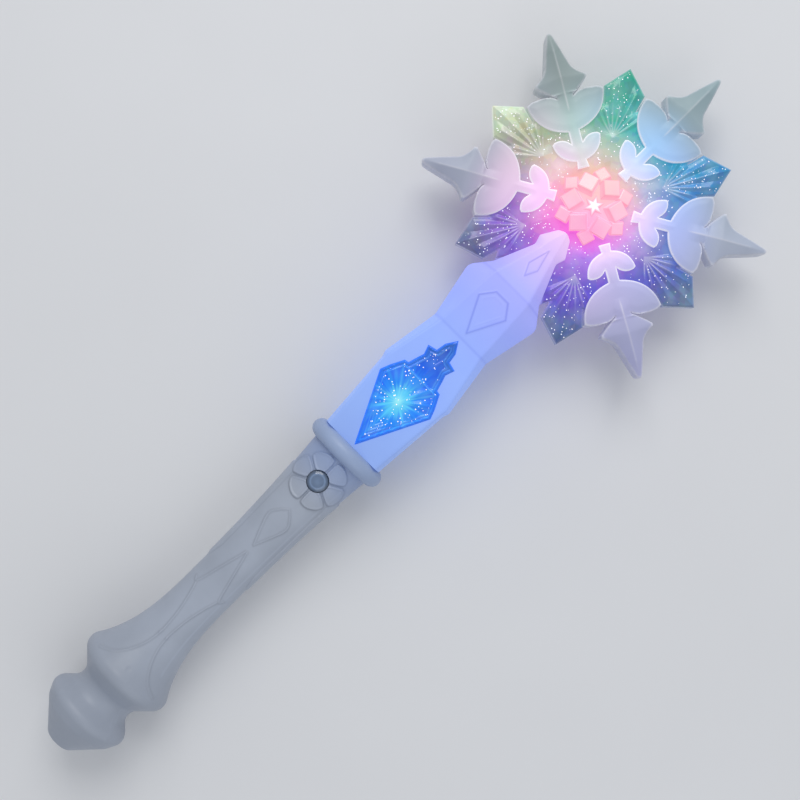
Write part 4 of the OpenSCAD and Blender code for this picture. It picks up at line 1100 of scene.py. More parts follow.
def finish(name):
    """The named material, made once."""
    key = "wand_" + name
    if key in bpy.data.materials:
        return bpy.data.materials[key]
    f = bpy.context.scene.wand_finishes
    makers = {
        "handle": lambda: grip_finish(key, tuple(f.grip)),
        "collar": lambda: plastic(key, tuple(f.collar), 0.4),
        "button": lambda: clear_cap(key, tuple(f.button)),
        "shaft": lambda: lit_shaft(key),
        "gem": lambda: lit_gem(key),
        "flake": lambda: lit_flake(key),
        "rosette": lambda: lit_rosette(key),
        "branch": lambda: lit_branch(key, tuple(f.branch)),
        "speck": lambda: speck_finish(key),
        "steel": lambda: metal(key, tuple(f.steel)),
        "contact": lambda: metal(key, linear(186, 180, 164), 0.24),
        "tray": lambda: plastic(key, linear(186, 190, 198), 0.5),
        "cell": lambda: cell_finish(key),
        "board": lambda: board_finish(key),
        "chip": lambda: plastic(key, linear(30, 30, 34), 0.45, bump=0.12),
        "brass": lambda: metal(key, linear(206, 170, 96), 0.2),
        "cone": lambda: plastic(key, linear(42, 40, 44), 0.8, grain=700.0, bump=0.3),
        "magnet": lambda: plastic(key, linear(70, 72, 78), 0.55, bump=0.2),
        "lens": lambda: plastic(key, linear(236, 238, 244), 0.15, bump=0.02, coat=0.5),
        "red": lambda: plastic(key, linear(176, 40, 38), 0.4),
        "black": lambda: plastic(key, linear(36, 36, 40), 0.4),
        "grey": lambda: plastic(key, linear(132, 134, 140), 0.4),
        "white": lambda: plastic(key, linear(224, 226, 230), 0.4),
    }
    return makers[name]().mat


# Geometry node trees


def tree_for(name, sockets):
    """A new geometry tree with the given inputs, and their keys."""
    tree = bpy.data.node_groups.new(name, "GeometryNodeTree")
    face = tree.interface
    face.new_socket("Geometry", in_out="INPUT", socket_type="NodeSocketGeometry")
    ids = {}
    for label, kind in sockets:
        ids[label] = face.new_socket(label, in_out="INPUT", socket_type=kind).identifier
    face.new_socket("Geometry", in_out="OUTPUT", socket_type="NodeSocketGeometry")
    return tree, ids


def grow(tree, kind, inputs=(), **settings):
    """Adds a node to a tree, with its inputs set or linked."""
    n = tree.nodes.new(kind)
    for key, value in settings.items():
        setattr(n, key, value)
    for key, value in dict(inputs).items():
        socket = n.inputs[key] if isinstance(key, int) else next(i for i in n.inputs if i.name == key and i.enabled)
        if isinstance(value, bpy.types.NodeSocket):
            tree.links.new(value, socket)
        else:
            socket.default_value = value
    return n


def run_tree(obj, tree, ids, values):
    """Runs a tree on an object and keeps its result as a plain mesh."""
    mod = obj.modifiers.new(tree.name, "NODES")
    mod.node_group = tree
    for label, value in values.items():
        mod[ids[label]] = value
    applied(obj)


def ended(tree, geometry, material):
    """Closes a tree: realised instances with one material."""
    real = grow(tree, "GeometryNodeRealizeInstances", {"Geometry": geometry})
    done = grow(tree, "GeometryNodeSetMaterial", {"Geometry": real.outputs[0], "Material": material})
    end = tree.nodes.new("NodeGroupOutput")
    tree.links.new(done.outputs[0], end.inputs[0])


def glitter_tree():
    """Specks strewn over a surface, each a thin six-sided flake that lies on it."""
    tree, ids = tree_for("Glitter", [("Per area", "NodeSocketFloat"), ("Width", "NodeSocketFloat"),
                                     ("Seed", "NodeSocketInt"), ("Finish", "NodeSocketMaterial")])
    start = tree.nodes.new("NodeGroupInput")
    spread = grow(tree, "GeometryNodeDistributePointsOnFaces",
                  {"Mesh": start.outputs["Geometry"], "Density": start.outputs["Per area"],
                   "Seed": start.outputs["Seed"]})
    half = grow(tree, "ShaderNodeMath", {0: start.outputs["Width"], 1: 0.5}, operation="MULTIPLY")
    thin = grow(tree, "ShaderNodeMath", {0: start.outputs["Width"], 1: 0.16}, operation="MULTIPLY")
    flake = grow(tree, "GeometryNodeMeshCylinder", {"Vertices": 6, "Radius": half.outputs[0], "Depth": thin.outputs[0]})
    size = grow(tree, "FunctionNodeRandomValue", {"Min": 0.35, "Max": 1.0, "Seed": start.outputs["Seed"]},
                data_type="FLOAT")
    each = grow(tree, "GeometryNodeInstanceOnPoints",
                {"Points": spread.outputs["Points"], "Instance": flake.outputs["Mesh"],
                 "Rotation": spread.outputs["Rotation"], "Scale": size.outputs[1]})
    ended(tree, each.outputs[0], start.outputs["Finish"])
    return tree, ids


def ring_tree():
    """Cut blocks in two rings round a disc, and a star in the middle, joined to one solid."""
    tree, ids = tree_for("Block cluster", [("Inner block", "NodeSocketObject"), ("Outer block", "NodeSocketObject"),
                                           ("Star", "NodeSocketObject"), ("Count", "NodeSocketInt"),
                                           ("Centre", "NodeSocketVector"), ("Finish", "NodeSocketMaterial")])
    start = tree.nodes.new("NodeGroupInput")
    rings = []
    for label, offset in (("Inner block", math.pi / 6), ("Outer block", 0.0)):
        points = grow(tree, "GeometryNodePoints",
                      {"Count": start.outputs["Count"], "Position": start.outputs["Centre"]})
        index = grow(tree, "GeometryNodeInputIndex")
        step = grow(tree, "ShaderNodeMath", {0: 2 * math.pi, 1: start.outputs["Count"]}, operation="DIVIDE")
        turn = grow(tree, "ShaderNodeMath", {0: index.outputs[0], 1: step.outputs[0], 2: offset},
                    operation="MULTIPLY_ADD")
        spin = grow(tree, "ShaderNodeCombineXYZ", {2: turn.outputs[0]})
        source = grow(tree, "GeometryNodeObjectInfo", {"Object": start.outputs[label]}, transform_space="ORIGINAL")
        rings.append(grow(tree, "GeometryNodeInstanceOnPoints",
                          {"Points": points.outputs[0], "Instance": source.outputs["Geometry"],
                           "Rotation": spin.outputs[0]}).outputs[0])
    star = grow(tree, "GeometryNodeObjectInfo", {"Object": start.outputs["Star"]}, transform_space="ORIGINAL")
    middle = grow(tree, "GeometryNodeTransform",
                  {"Geometry": star.outputs["Geometry"], "Translation": start.outputs["Centre"]})
    whole = grow(tree, "GeometryNodeMeshBoolean", operation="UNION", solver="MANIFOLD")
    for part in (*rings, middle.outputs[0], start.outputs["Geometry"]):
        tree.links.new(part, whole.inputs["Mesh 2"])
    ended(tree, whole.outputs["Mesh"], start.outputs["Finish"])
    return tree, ids


def screw_tree():
    """One screw at each point."""
    tree, ids = tree_for("Screws", [("Screw", "NodeSocketObject"), ("Finish", "NodeSocketMaterial")])
    start = tree.nodes.new("NodeGroupInput")
    points = grow(tree, "GeometryNodeMeshToPoints", {"Mesh": start.outputs["Geometry"]})
    source = grow(tree, "GeometryNodeObjectInfo", {"Object": start.outputs["Screw"]}, transform_space="ORIGINAL")
    each = grow(tree, "GeometryNodeInstanceOnPoints",
                {"Points": points.outputs[0], "Instance": source.outputs["Geometry"]})
    ended(tree, each.outputs[0], start.outputs["Finish"])
    return tree, ids


def at_origin(name, build):
    """A helper shape whose own origin is the place it turns about, for trees to copy."""
    obj = build()
    obj.name = name
    set_coords(obj, coords(obj) - np.array((0, FOOT, AXIS)) / 1000)
    return obj


# Operators


class WAND_OT_stage(Operator):
    """Floor, soft light and the camera over the wand"""
    bl_idname = "wand.stage"
    bl_label = "Stage"

    def execute(self, context):
        scene = context.scene
        mesh = bpy.data.meshes.new("floor")
        mesh.from_pydata([(-3, -3, -0.0006), (3, -3, -0.0006), (3, 3, -0.0006), (-3, 3, -0.0006)], [], [(0, 1, 2, 3)])
        floor = bpy.data.objects.new("floor", mesh)
        scene.collection.objects.link(floor)
        m = Nodes("wand_floor")
        tone = tuple(scene.wand_finishes.floor)
        m.set(Base_Color=m.ramp(m.noise(6.0, 3.0), [(0.3, times(tone, 0.985)), (0.7, times(tone, 1.015))]))
        m.uneven(0.7, 0.85, 30.0)
        # seen from below, the floor lets the view through
        under = m.math("MULTIPLY", m.node("ShaderNodeNewGeometry").outputs["Backfacing"],
                       m.node("ShaderNodeLightPath").outputs["Is Camera Ray"])
        clear = m.node("ShaderNodeBsdfTransparent")
        see = m.node("ShaderNodeMixShader", {0: under, 1: m.shader.outputs[0], 2: clear.outputs[0]})
        m.link(see.outputs[0], m.out.inputs["Surface"])
        mesh.materials.append(m.mat)
        world = bpy.data.worlds.new("studio")
        scene.world = world
        world.use_nodes = True
        world.node_tree.nodes["Background"].inputs["Color"].default_value = (0.93, 0.96, 1.0, 1)
        world.node_tree.nodes["Background"].inputs["Strength"].default_value = 0.5
        for name, at, size, power, rgb in (("key", (-0.5, 0.62, 0.95), 0.8, 6.2, (1, 0.99, 0.97)),
                                           ("fill", (0.75, -0.45, 0.8), 1.0, 2.2, (0.95, 0.97, 1))):
            lamp = bpy.data.lights.new(name, "AREA")
            lamp.size, lamp.energy, lamp.color = size, power, rgb
            obj = bpy.data.objects.new(name, lamp)
            scene.collection.objects.link(obj)
            obj.location = at
            obj.rotation_euler = (Vector((0, 0.02, 0.02)) - Vector(at)).to_track_quat("-Z", "Y").to_euler()
        lens = bpy.data.cameras.new("camera")
        camera = bpy.data.objects.new("camera", lens)
        scene.collection.objects.link(camera)
        away = 0.585
        lens.sensor_width = 36
        lens.lens = 36 * away / 0.344
        camera.location = (0.0002, metres(207.1), AXIS / 1000 + away)
        camera.rotation_euler = (0, 0, math.radians(45.1))
        scene.camera = camera
        scene.view_settings.view_transform = "Standard"
        return {"FINISHED"}


def screw_boss(shell, core, x, u, seat):
    """Adds a boss inside a rear shell and sinks a screw's hole into it."""
    boss = post("boss", x, u, -40, -0.05, 3.2)
    carve(boss, core, how="INTERSECT", keep=True)
    carve(shell, boss, how="UNION")
    carve(shell, post("sink", x, u, -40, seat, 2.3))


class WAND_OT_handle(Operator):
    """Front and rear shells of the handle with their relief"""
    bl_idname = "wand.handle"
    bl_label = "Handle shells"

    def execute(self, context):
        s = sizes()
        front = handle_half("shell_front", s, 1, front_relief,
                            [(0, 44, 0.7), (44, 143, 0.45), (143, COLLAR_U, 0.32)], 151)
        carve(front, post("button_hole", 0, BUTTON_U, 5, 30, 4.9, 96))
        # painted shade in the handle's grooves, stored for its finish
        mark(front, handle_painted_shade)
        dressed(front, finish("handle"), "wand", ["handle_front"], 55)
        rear = handle_half("shell_rear", s, -1, panel_relief, [(0, 50, 0.8), (50, COLLAR_U, 1.0)], 109)
        core = handle_core("core", s, -1, s["wall"] / 2)
        for spot in HANDLE_SCREWS:
            screw_boss(rear, core, *spot)
        bar = block("bar", -20, 20, BUTTON_U - 1.6, BUTTON_U + 1.4, -8, -3)
        carve(bar, core, how="INTERSECT")
        carve(rear, bar, how="UNION")
        carve(rear, block("opening", -DOOR_HALF, DOOR_HALF, DOOR_LO, DOOR_HI, -30, -8.05))
        hinge = -float(handle_radius(DOOR_LO, s)) + 1.2
        notch = [(0, -DOOR_HALF), (1.3, -DOOR_HALF), (1.3, DOOR_HALF), (0, DOOR_HALF)]
        carve(rear, turned("notch", notch, (0, DOOR_LO, hinge), "x", 32))
        for x, y in [(0, 0), *(spun((4.6, 0), 60 * k) for k in range(6))]:
            carve(rear, post("grille", x, SPEAKER_U + y, -40, -12, 1, 24))
        dressed(rear, finish("handle"), "wand", ["handle_rear"], 40)
        return {"FINISHED"}


class WAND_OT_door(Operator):
    """Battery door with its round hinge, hook and screw seat"""
    bl_idname = "wand.door"
    bl_label = "Battery door"

    def execute(self, context):
        s = sizes()
        door = handle_half("door_leaf", s, -1, panel_relief, [(0, 50, 2.0), (50, COLLAR_U, 0.8)], 121)
        gap = 0.25
        half = DOOR_HALF - gap
        carve(door, block("leaf", -half, half, DOOR_LO + gap, DOOR_HI - gap, -30, -6), how="INTERSECT")
        lip, seat = -float(handle_radius(DOOR_LO, s)), bolt_seat(s)
        core = handle_core("core", s, -1, s["wall"] / 2)
        pad = post("pad", 0, BOLT_U, -40, seat + 1.5, 3.4)
        carve(pad, core, how="INTERSECT", keep=True)
        root = block("root", -3.5, 3.5, DOOR_LO + gap, DOOR_LO + 4 + gap, -40, lip + s["wall"] + 1.3)
        carve(root, core, how="INTERSECT")
        hook = block("hook", -3.5, 3.5, DOOR_LO - 3, DOOR_LO + 3, lip + s["wall"] + 0.8, lip + s["wall"] + 2.3)
        barrel = turned("barrel", [(0, -3.5), (1.1, -3.5), (1.1, 3.5), (0, 3.5)], (0, DOOR_LO, lip + 1.2), "x", 32)
        carve(door, pad, root, hook, barrel, how="UNION")
        carve(door, post("seat", 0, BOLT_U, -40, seat, 2.3), post("hole", 0, BOLT_U, -40, 0, 1.2))
        for k in range(5):
            u = BUTTON_U - 16 - 1.8 * k
            z = -float(handle_radius(u, s))
            carve(door, block("groove", -3.4, 3.4, u - 0.35, u + 0.35, z - 1, z + 0.55))
        dressed(door, finish("handle"), "door", ["battery_door"], 40)
        return {"FINISHED"}


class WAND_OT_button(Operator):
    """Clear domed cap of the push button"""
    bl_idname = "wand.button"
    bl_label = "Button"

    def execute(self, context):
        lo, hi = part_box("power_button")
        base, top = lo.z * 1000 - AXIS, hi.z * 1000 - AXIS
        a = np.linspace(0, math.pi / 2, 14)
        side = top - 1.4
        edge = corner_arc((4.7, base + 1), (4.7, side + 0.25), (3.9, side + 0.62), 0.3, 5)
        dome = [(4.55 * math.cos(t), side + 0.25 + 1.15 * math.sin(t)) for t in a[2:-1]]
        line = [(0, base), (5.8, base), (5.8, base + 0.7), (4.7, base + 0.7), *edge.tolist(), *dome, (0, top)]
        cap = turned("button_cap", line, (0, BUTTON_U, 0), steps=96)
        dressed(cap, finish("button"), "button", ["power_button"], 40)
        return {"FINISHED"}


class WAND_OT_collar(Operator):
    """Round collar between the handle and the shaft"""
    bl_idname = "wand.collar"
    bl_label = "Collar"

    def execute(self, context):
        r, h = (collar_hi.x - collar_lo.x) * 500, (SHAFT_U - COLLAR_U) / 2
        a = np.linspace(-math.pi / 2, math.pi / 2, 25)
        bulge = [(r - h + h * math.cos(t), h + h * math.sin(t)) for t in a]
        line = np.array([(NECK_BORE, 0), *bulge, (NECK_BORE, 2 * h)])
        steps = 160
        b = 2 * math.pi * np.arange(steps) / steps
        # a fine mould seam on both sides
        seam = 1 - 0.012 * np.exp(-(np.abs(np.sin(b)) / 0.018) ** 2)
        rr = line[:, :1] * np.where(line[:, :1] > 11, seam[None], 1)
        points = np.stack([rr * np.cos(b), np.repeat(line[:, 1:], steps, 1) + COLLAR_U, rr * np.sin(b)], -1)
        last = (len(line) - 1) * steps
        bore = [[last + i, last + (i + 1) % steps, (i + 1) % steps, i] for i in range(steps)]
        ring = closed(make("collar", points.reshape(-1, 3), strips(len(line), steps, True) + bore))
        dressed(ring, finish("collar"), "wand", ["collar_ring"], 50)
        return {"FINISHED"}


def half_block(side):
    """A block that fills one side of the mid-plane round the shaft."""
    return block("half", -50, 50, 150, 330, *((0, 30) if side > 0 else (-30, 0)))


class WAND_OT_shaft(Operator):
    """Milky front and rear shells of the shaft"""
    bl_idname = "wand.shaft"
    bl_label = "Shaft shells"

    def execute(self, context):
        s = sizes()
        for name, side in (("shaft_face", 1), ("shaft_back", -1)):
            shell = shaft_half(name, side, 44 if side > 0 else 10, side > 0)
            carve(shell, shaft_room("room", side, 2.0, SHAFT_U + 2, SHAFT_U + 95.6))
            core = shaft_room("core", side, 1.0, SHAFT_U + 0.5, SHAFT_U + 96.6)
            carve(core, half_block(side), how="INTERSECT")
            for spot in SHAFT_SCREWS if side < 0 else ():
                screw_boss(shell, core, *spot)
            drop(core)
            for x in (-8, 8) if side < 0 else ():
                carve(shell, turned("stud", [(0, -16.3), (0.5, -16.28), (0.9, -15.95), (2.4, -14.1), (0, -14.1)],
                                    (x, SHAFT_U + 91.4, 0), steps=32), how="UNION")
            flange_r, flange_lo, flange_hi = 11.9, COLLAR_U - 5, COLLAR_U - 2.7
            spigot = turned("spigot", [(SPIGOT_BORE, flange_lo), (flange_r, flange_lo), (flange_r, flange_hi),
                                       (SPIGOT_R, flange_hi), (SPIGOT_R, SHAFT_U + 1), (SPIGOT_BORE, SHAFT_U + 1),
                                       (SPIGOT_BORE, flange_lo)], (0, 0, 0), "y", 72)
            carve(spigot, half_block(side), how="INTERSECT")
            carve(shell, turned("bore", [(0, SHAFT_U - 1), (SPIGOT_BORE, SHAFT_U - 1), (SPIGOT_BORE, SHAFT_U + 3),
                                         (0, SHAFT_U + 3)], (0, 0, 0), "y", 72))
            carve(shell, spigot, how="UNION")
            carve(shell, prism("tongue_room", tongue_loop(0.3), -4.15, 4.15))
            carve(shell, prism("plate_room", grown(flake_loop(s), 0.3) + (0, HUB_U), -4.15, 4.15))
            if side > 0:
                carve(shell, prism("window", grown(gem_loop(s), 0.12), 9, 20))
            mark(shell, shaft_lines if side > 0 else lambda x, u, z: x * 0)
            node = "shaft_front" if side > 0 else "shaft_rear"
            dressed(shell, finish("shaft"), "wand", [node], 50)
        return {"FINISHED"}


class WAND_OT_gem(Operator):
    """Clear gem with its rim, facets and nested lines"""
    bl_idname = "wand.gem"
    bl_label = "Gem"

    def execute(self, context):
        s = sizes()
        lo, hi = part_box("gem_window")
        top = hi.z * 1000 - AXIS
        loop = gem_loop(s)
        cross = GEM_U + 38.6
        nested = (2.5, 3.7, 4.9)

        def height(x, u):
            d = depth_in(x, u, loop)
            z = top - 1.0 + 0.75 * eased(d, 0, 0.35) - 0.7 * eased(d, 1.0, 1.5)
            a = np.degrees(np.arctan2(np.abs(x), u - GEM_SPOT_U))
            far = np.hypot(x, u - GEM_SPOT_U)
            fan = np.interp(a, [0, 14, 26, 40, 54, 70, 90, 112, 128, 142, 155, 167, 180],
                            [0.35, 0, 0.5, 0.05, 0.55, 0, 0.4, 0, 0.45, 0.05, 0.4, 0, 0.35])
            low = 1 - eased(u, GEM_U + 37.5, GEM_U + 39.5)
            z += (fan * eased(far, 1.5, 10) + 0.35 * (1 - eased(far, 0, 6))) * eased(d, 1.4, 3) * low
            nest = sum(bead(d - k, 0.3, 0.75) for k in nested) * (1 - eased(u, GEM_U + 13, GEM_U + 17))
            z += nest + bead(d - 2.2, 0.2, 0.7) * eased(u, GEM_U + 16, GEM_U + 20)
            z += bead(u - cross, 0.3, 0.9) * eased(d, 1.2, 2)
            kite = to_line(np.abs(x), u, [(0, GEM_U + 60), (2.0, GEM_U + 53), (0, GEM_U + 46), (0, GEM_U + 41)])
            return np.minimum(z + bead(kite, 0.22, 0.7), top)

        # where light is painted: along the gem's rim lines, its nested lines and the lines from its light
        def drawn(x, u, z):
            d = depth_in(x, u, loop)
            hit = np.maximum(bead(d - 1.3, 0.7, 0.6), bead(d - 2.2, 0.8, 0.6) * eased(u, GEM_U + 16, GEM_U + 20))
            for k in nested:
                hit = np.maximum(hit, bead(d - k, 0.8, 0.5) * (1 - eased(u, GEM_U + 13, GEM_U + 16)))
            corner, light = (0.62 * s["gem_w"] / 2, cross), (0, GEM_SPOT_U)
            for path in ((light, corner), ((0, cross), corner), (light, (11, GEM_U + 24)), (light, (3.2, GEM_U + 33))):
                hit = np.maximum(hit, bead(to_line(np.abs(x), u, path), 0.9, 0.8))
            return hit * (z > top - 1.4)

        base = lo.z * 1000 - AXIS
        body, (points, tris) = raised("gem_face", loop, height, base + 1.2, 0.3, lambda x, u: u > 0)
        flange = prism("flange", grown(loop, 1.1), base, base + 1.2)
        carve(flange, shaft_room("room", 1, 2.05, SHAFT_U + 2.15, SHAFT_U + 95), how="INTERSECT")
        carve(body, flange, how="UNION", solver="EXACT")
        mark(body, drawn)
        dressed(body, finish("gem"), "wand", ["gem_window"], 35)
        used = tris[depth_in(*points[tris].mean(1)[:, :2].T, loop) > 1.4]
        ground = make("gem_glitter", points, used.tolist())
        tree, ids = glitter_tree()
        run_tree(ground, tree, ids, {"Per area": s["glitter"] * 1.1e4, "Width": s["speck"] * 1.05 / 1000, "Seed": 4,
                                     "Finish": finish("speck")})
        dressed(ground, finish("speck"), "wand", [], None)
        return {"FINISHED"}


class WAND_OT_flakes(Operator):
    """Clear plates of the snowflake with cut crystals, and their glitter"""
    bl_idname = "wand.flakes"
    bl_label = "Clear plates"

    def execute(self, context):
        s = sizes()
        star = flake_loop(s)
        reach = s["crystal_reach"]
        fan_foot = reach - 30.4
        branch = branch_loop(s)

        def crystal(x, y):
            """Place along the nearest crystal, from the foot of its fan, and across it."""
            turn = np.radians(np.round(np.degrees(np.arctan2(y, x)) / 60) * 60)
            a, b = np.cos(turn), np.sin(turn)
            return np.abs(x * a + y * b) - fan_foot, np.abs(-x * b + y * a)

        def height(x, u):
            y = u - HUB_U
            p, q = crystal(x, y)
            far = np.hypot(x, y)
            d = depth_in(x, y, star)
            z = PLATE - 0.7 * (1 - eased(d, 0, 0.8))
            ridge = np.interp(np.degrees(np.arctan2(q, p)), [0, 7.5, 15, 22.5, 30, 37, 44, 52, 70],
                              [1, 0.3, 0.85, 0.25, 0.75, 0.2, 0.55, 0.05, 0])
            crown = 1.75 * ridge * eased(np.hypot(p, q), 0.5, 13) * eased(d, 0.1, 4.2) * (p > 0)
            rays = np.abs(((np.degrees(np.arctan2(y, x)) / 15) % 2) - 1)
            cut = 0.34 * rays * eased(far, 17, 22) * (1 - eased(far, 30, 35))
            return np.minimum(z + crown + np.where(d > 0, cut, 0), PLATE + 1.78)

        # where light is painted: along the crystals' fan lines and the plate's rim near their tips
        def drawn(x, u, z):
            y = u - HUB_U
            p, q = crystal(x, y)
            hit = np.zeros(x.shape)
            for degrees, far in ((0, 18), (15, 17), (30, 17), (44, 11)):
                line = bead(to_line(p, q, [(0, 0), spun((far, 0), degrees)]), 1, 0.56)
                hit = np.maximum(hit, line * (1 - eased(np.hypot(p, q), 5, far)))
            rim = 0.5 * (1 - eased(depth_in(x, y, star), 0.1, 0.8)) * (np.hypot(x, y) > reach - 20)
            return np.where(z > 1, np.maximum(hit, rim), 0)

        def bare(x, u):
            y = u - HUB_U
            ok = (np.hypot(x, y) > 17.2) & (depth_in(x, y, star) > 0.7)
            for turn in ARM_TURNS:
                ok &= depth_in(*spun(np.stack([x, y], 1), turn).T, branch) < -0.5
            width = shaft_tables()[0]
            return ok & ~((u < HUB_U - 16) & (np.abs(x) < lookup(u, width) + 0.5))

        tree, ids = glitter_tree()
        for name, node, side in (("clear_front", "flake_front", 1), ("clear_rear", "flake_rear", -1)):
            plate, (points, tris) = raised(name, star + (0, HUB_U), height, 0, 0.34, bare)
            carve(plate, prism("tongue", tongue_loop(), 0, PLATE), how="UNION")
            ground = make("glitter_" + ("front" if side > 0 else "rear"), points, tris.tolist())
            run_tree(ground, tree, ids, {"Per area": s["glitter"] * 1e4, "Width": s["speck"] / 1000,
                                         "Seed": 11 if side > 0 else 12, "Finish": finish("speck")})
            mark(plate, drawn)
            for obj in (plate, ground):
                if side < 0:
                    mirror(obj)
            dressed(plate, finish("flake"), "wand", [node], 30)
            dressed(ground, finish("speck"), "wand", [], None)
        return {"FINISHED"}


class WAND_OT_branches(Operator):
    """White branches on both faces of the snowflake"""
    bl_idname = "wand.branches"
    bl_label = "Branches"

    def execute(self, context):
        s = sizes()
        loop = branch_loop(s)
        reach = s["arm_reach"]
        neck, hi = reach - 21, reach - 27.4
        right = loop[:len(loop) // 2 + 1]
        head = right[right[:, 1] > hi - 1]
        order = np.argsort(head[:, 1])
        spine = [(hi - 8, 0), (hi - 1, 1.1), (neck + 1, 2.35), (reach - 8, 1.9), (reach, 0.1)]

        def height(x, u):
            y = u - HUB_U
            d = depth_in(x, y, loop)
            z = PLATE + 2 - 0.4 * (1 - eased(d, -0.05, 0.45))
            wide = np.maximum(np.where(y > hi, np.interp(y, head[order][:, 1], head[order][:, 0]), 3.6), 3.6)
            ridge = np.interp(y, [p[0] for p in spine], [p[1] for p in spine])
            roof = ridge * np.clip(1 - np.abs(x) / wide, 0, 1)
            leaf = 0.3 * eased(d, 0.5, 3.4) * (1 - eased(y, hi - 3, hi + 2))
            return z + roof + leaf

        # where highlights are painted: along the branch's outline and the ridge down its head and neck
        def drawn(x, u, z):
            y = u - HUB_U
            rim = 1 - eased(depth_in(x, y, loop), 0.15, 0.55)
            ridge = bead(x, 1.0, 0.55) * eased(y, hi - 8, hi - 4) * (1 - eased(y, neck + 4, reach - 6))
            return (z > PLATE + 1) * np.maximum(rim, ridge)

        base, _ = raised("branch", loop + (0, HUB_U), height, 0, 0.5)
        closed(base)
        carve(base, prism("plate_room", grown(flake_loop(s), 0.3) + (0, HUB_U), -1, PLATE))
        mark(base, drawn)
        co = coords(base)
        hub = np.array((0, metres(HUB_U)))
        for side, word in ((1, "front"), (-1, "rear")):
            for k, turn in enumerate(ARM_TURNS):
                obj = bpy.data.objects.new(f"arm_{word}_{k + 1}", base.data.copy())
                context.scene.collection.objects.link(obj)
                place = co.copy()
                place[:, :2] = spun(co[:, :2] - hub, -turn) + hub
                set_coords(obj, place)
                if side < 0:
                    mirror(obj)
                dressed(obj, finish("branch"), "wand", [f"branch_{word}_{k + 1}"], 38)
        drop(base)
        return {"FINISHED"}


class WAND_OT_rosettes(Operator):
    """Clusters of cut clear blocks at the snowflake's centre"""
    bl_idname = "wand.rosettes"
    bl_label = "Block clusters"

    def cut_block(self, name, width, height, far, tilt, turn, top_share):
        """A block that leans outwards, with a smaller top, at a distance from the centre."""
        w = width / 2
        c, d = math.cos(math.radians(tilt)), math.sin(math.radians(tilt))

        def build():
            low = np.array([(-w, -w), (w, -w), (w, w), (-w, w)])
            rings = []
            for share, z in ((1.0, -0.6), (1.0, height * 0.62), (top_share, height)):
                x, y = spun(low * share, turn).T
                rings.append(np.stack([x * c + z * d + far, y, -x * d + z * c], 1))
            return soft(lofted(name, rings), 0.28)
        return at_origin(name, build)

    def star(self):
        """A low six-pointed star, whose valleys stay outside the light's dome and whose top stays above it."""
        outer, inner = 4.8, 2.6
        tips = np.array([spun((inner if k % 2 else outer, 0), 30 * k) for k in range(12)])
        rings = [np.column_stack([tips * share, np.full(12, z)])
                 for share, z in ((1, -0.2), (1, 0.7), (0.5, 1.9), (0.08, 2.6))]
        return at_origin("hub_star", lambda: lofted("hub_star", rings))

    def execute(self, context):
        s = sizes()
        r = s["rosette_r"]
        inner = self.cut_block("inner_block", 7.7, 4.4, r * 0.555, 18, 45, 0.86)
        outer = self.cut_block("outer_block", 5.9, 2.5, r * 0.8, 22, 45, 0.84)
        star = self.star()
        tree, ids = ring_tree()
        for side, word in ((1, "front"), (-1, "rear")):
            base = r * 0.66
            line = [(0, PLATE - 0.4), (base, PLATE - 0.4), (base, PLATE + 0.3), (0, PLATE + 0.5)]
            disc = turned("cluster_" + word, line, (0, HUB_U, 0), steps=96)
            run_tree(disc, tree, ids, {"Inner block": inner, "Outer block": outer, "Star": star, "Count": 6,
                                       "Centre": (0, metres(HUB_U), (AXIS + PLATE) / 1000),
                                       "Finish": finish("rosette")})
            carve(disc, post("trim", 0, HUB_U, PLATE, PLATE + 12, r + 1.2, 96), how="INTERSECT")
            if side < 0:
                mirror(disc)
            dressed(disc, finish("rosette"), "wand", ["rosette_" + word], 20)
        drop(inner, outer, star)
        return {"FINISHED"}


class WAND_OT_screws(Operator):
    """Cross-head screws of the shells and the door"""
    bl_idname = "wand.screws"
    bl_label = "Screws"

    def screw(self, head, long):
        """A screw that points up, with the underside of its head at the origin."""
        r = head / 2
        core_r, crest_r, pitch = 0.86, 1.05, 0.7

        def build():
            a = np.linspace(0, math.pi / 2, 5)
            dome = [(r - 0.5 + 0.5 * math.cos(t), -1.1 - 0.5 * math.sin(t)) for t in a]
            thread = []
            for k in range(int((long - 1) / pitch)):
                thread += [(core_r, 0.3 + pitch * k), (crest_r, 0.3 + pitch * (k + 0.5))]
            line = [(0, -1.6), *dome[::-1], (r, -0.02), (0.95, 0), *thread, (core_r, long - pitch), (0, long)]
            obj = turned("screw", line, (0, 0, 0), steps=24)
            for flip in (0, 1):
                x, y = (0.32, 1.25) if flip else (1.25, 0.32)
                carve(obj, block("slot", -x, x, -y, y, -3, -0.85))
            return obj
        return at_origin("screw", build)

    def execute(self, context):
        s = sizes()
        tree, ids = screw_tree()
        long = self.screw(s["screw_head_d"], 13)
        short = self.screw(s["screw_head_d"], 10)
        bolt = self.screw(s["screw_head_d"], 6.4)
        groups = (("pommel_screw", long, HANDLE_SCREWS[:1], "wand", []),
                  ("neck_screws", short, HANDLE_SCREWS[1:], "wand", ["handle_screws"]),
                  ("shaft_screw_set", short, SHAFT_SCREWS, "wand", ["shaft_screws"]),
                  ("door_bolt", bolt, [(0, BOLT_U, bolt_seat(s))], "door", ["door_screw"]))
        for name, source, spots, body, nodes in groups:
            obj = make(name, spots, [])
            run_tree(obj, tree, ids, {"Screw": source, "Finish": finish("steel")})
            dressed(obj, finish("steel"), body, nodes, 30)
        drop(long, short, bolt)
        return {"FINISHED"}


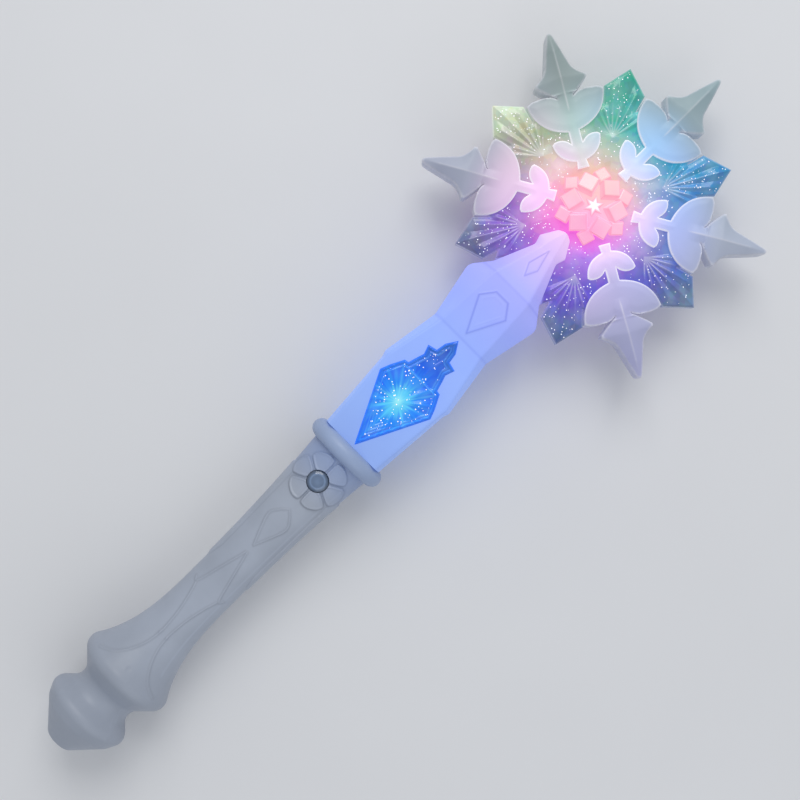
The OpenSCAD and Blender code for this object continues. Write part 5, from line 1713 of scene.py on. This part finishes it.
class WAND_OT_inside(Operator):
    """Finishes of the pieces inside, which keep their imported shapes"""
    bl_idname = "wand.inside"
    bl_label = "Inner pieces"

    def execute(self, context):
        finishes = {
            "battery_tray": "tray", "battery_lower": "cell", "battery_upper": "cell", "spring_plate": "contact",
            "contact_spring": "contact", "end_contact": "contact", "circuit_board": "board", "switch_case": "chip",
            "switch_stem": "chip", "sound_chip": "chip", "motion_can": "contact", "motion_ball": "brass",
            "speaker_frame": "magnet", "speaker_cone": "cone", "speaker_magnet": "magnet", "battery_lead_red": "red",
            "battery_lead_black": "black", "speaker_lead": "grey", "light_lead": "white", "hub_lead": "white",
            "gem_board": "board", "gem_led": "lens", "hub_board": "board", "hub_led_front": "lens",
            "hub_led_rear": "lens",
        }
        for node, name in finishes.items():
            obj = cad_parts[node]
            obj.data.materials.clear()
            obj.data.materials.append(finish(name))
        return {"FINISHED"}


class WAND_PT_panel(Panel):
    """Lists the wand's sizes, colours and pieces"""
    bl_label = "Snowflake wand"
    bl_idname = "WAND_PT_panel"
    bl_space_type = "VIEW_3D"
    bl_region_type = "UI"
    bl_category = "Wand"

    def draw(self, context):
        layout = self.layout
        for group in (context.scene.wand_sizes, context.scene.wand_finishes):
            box = layout.box()
            for key in group.__annotations__:
                box.prop(group, key)
        for op in STEPS:
            layout.operator(op.bl_idname)


STEPS = (WAND_OT_stage, WAND_OT_handle, WAND_OT_door, WAND_OT_button, WAND_OT_collar, WAND_OT_shaft, WAND_OT_gem,
         WAND_OT_flakes, WAND_OT_branches, WAND_OT_rosettes, WAND_OT_screws, WAND_OT_inside)
CLASSES = (WandSizes, WandFinishes, *STEPS, WAND_PT_panel)


def register():
    for cls in CLASSES:
        bpy.utils.register_class(cls)
    bpy.types.Scene.wand_sizes = PointerProperty(type=WandSizes)
    bpy.types.Scene.wand_finishes = PointerProperty(type=WandFinishes)


def unregister():
    del bpy.types.Scene.wand_finishes
    del bpy.types.Scene.wand_sizes
    for cls in reversed(CLASSES):
        bpy.utils.unregister_class(cls)


def main():
    register()
    for step in STEPS:
        group, name = step.bl_idname.split(".")
        if getattr(getattr(bpy.ops, group), name)() != {"FINISHED"}:
            raise RuntimeError(f"{step.bl_label} did not finish")


if __name__ == "__main__":
    main()
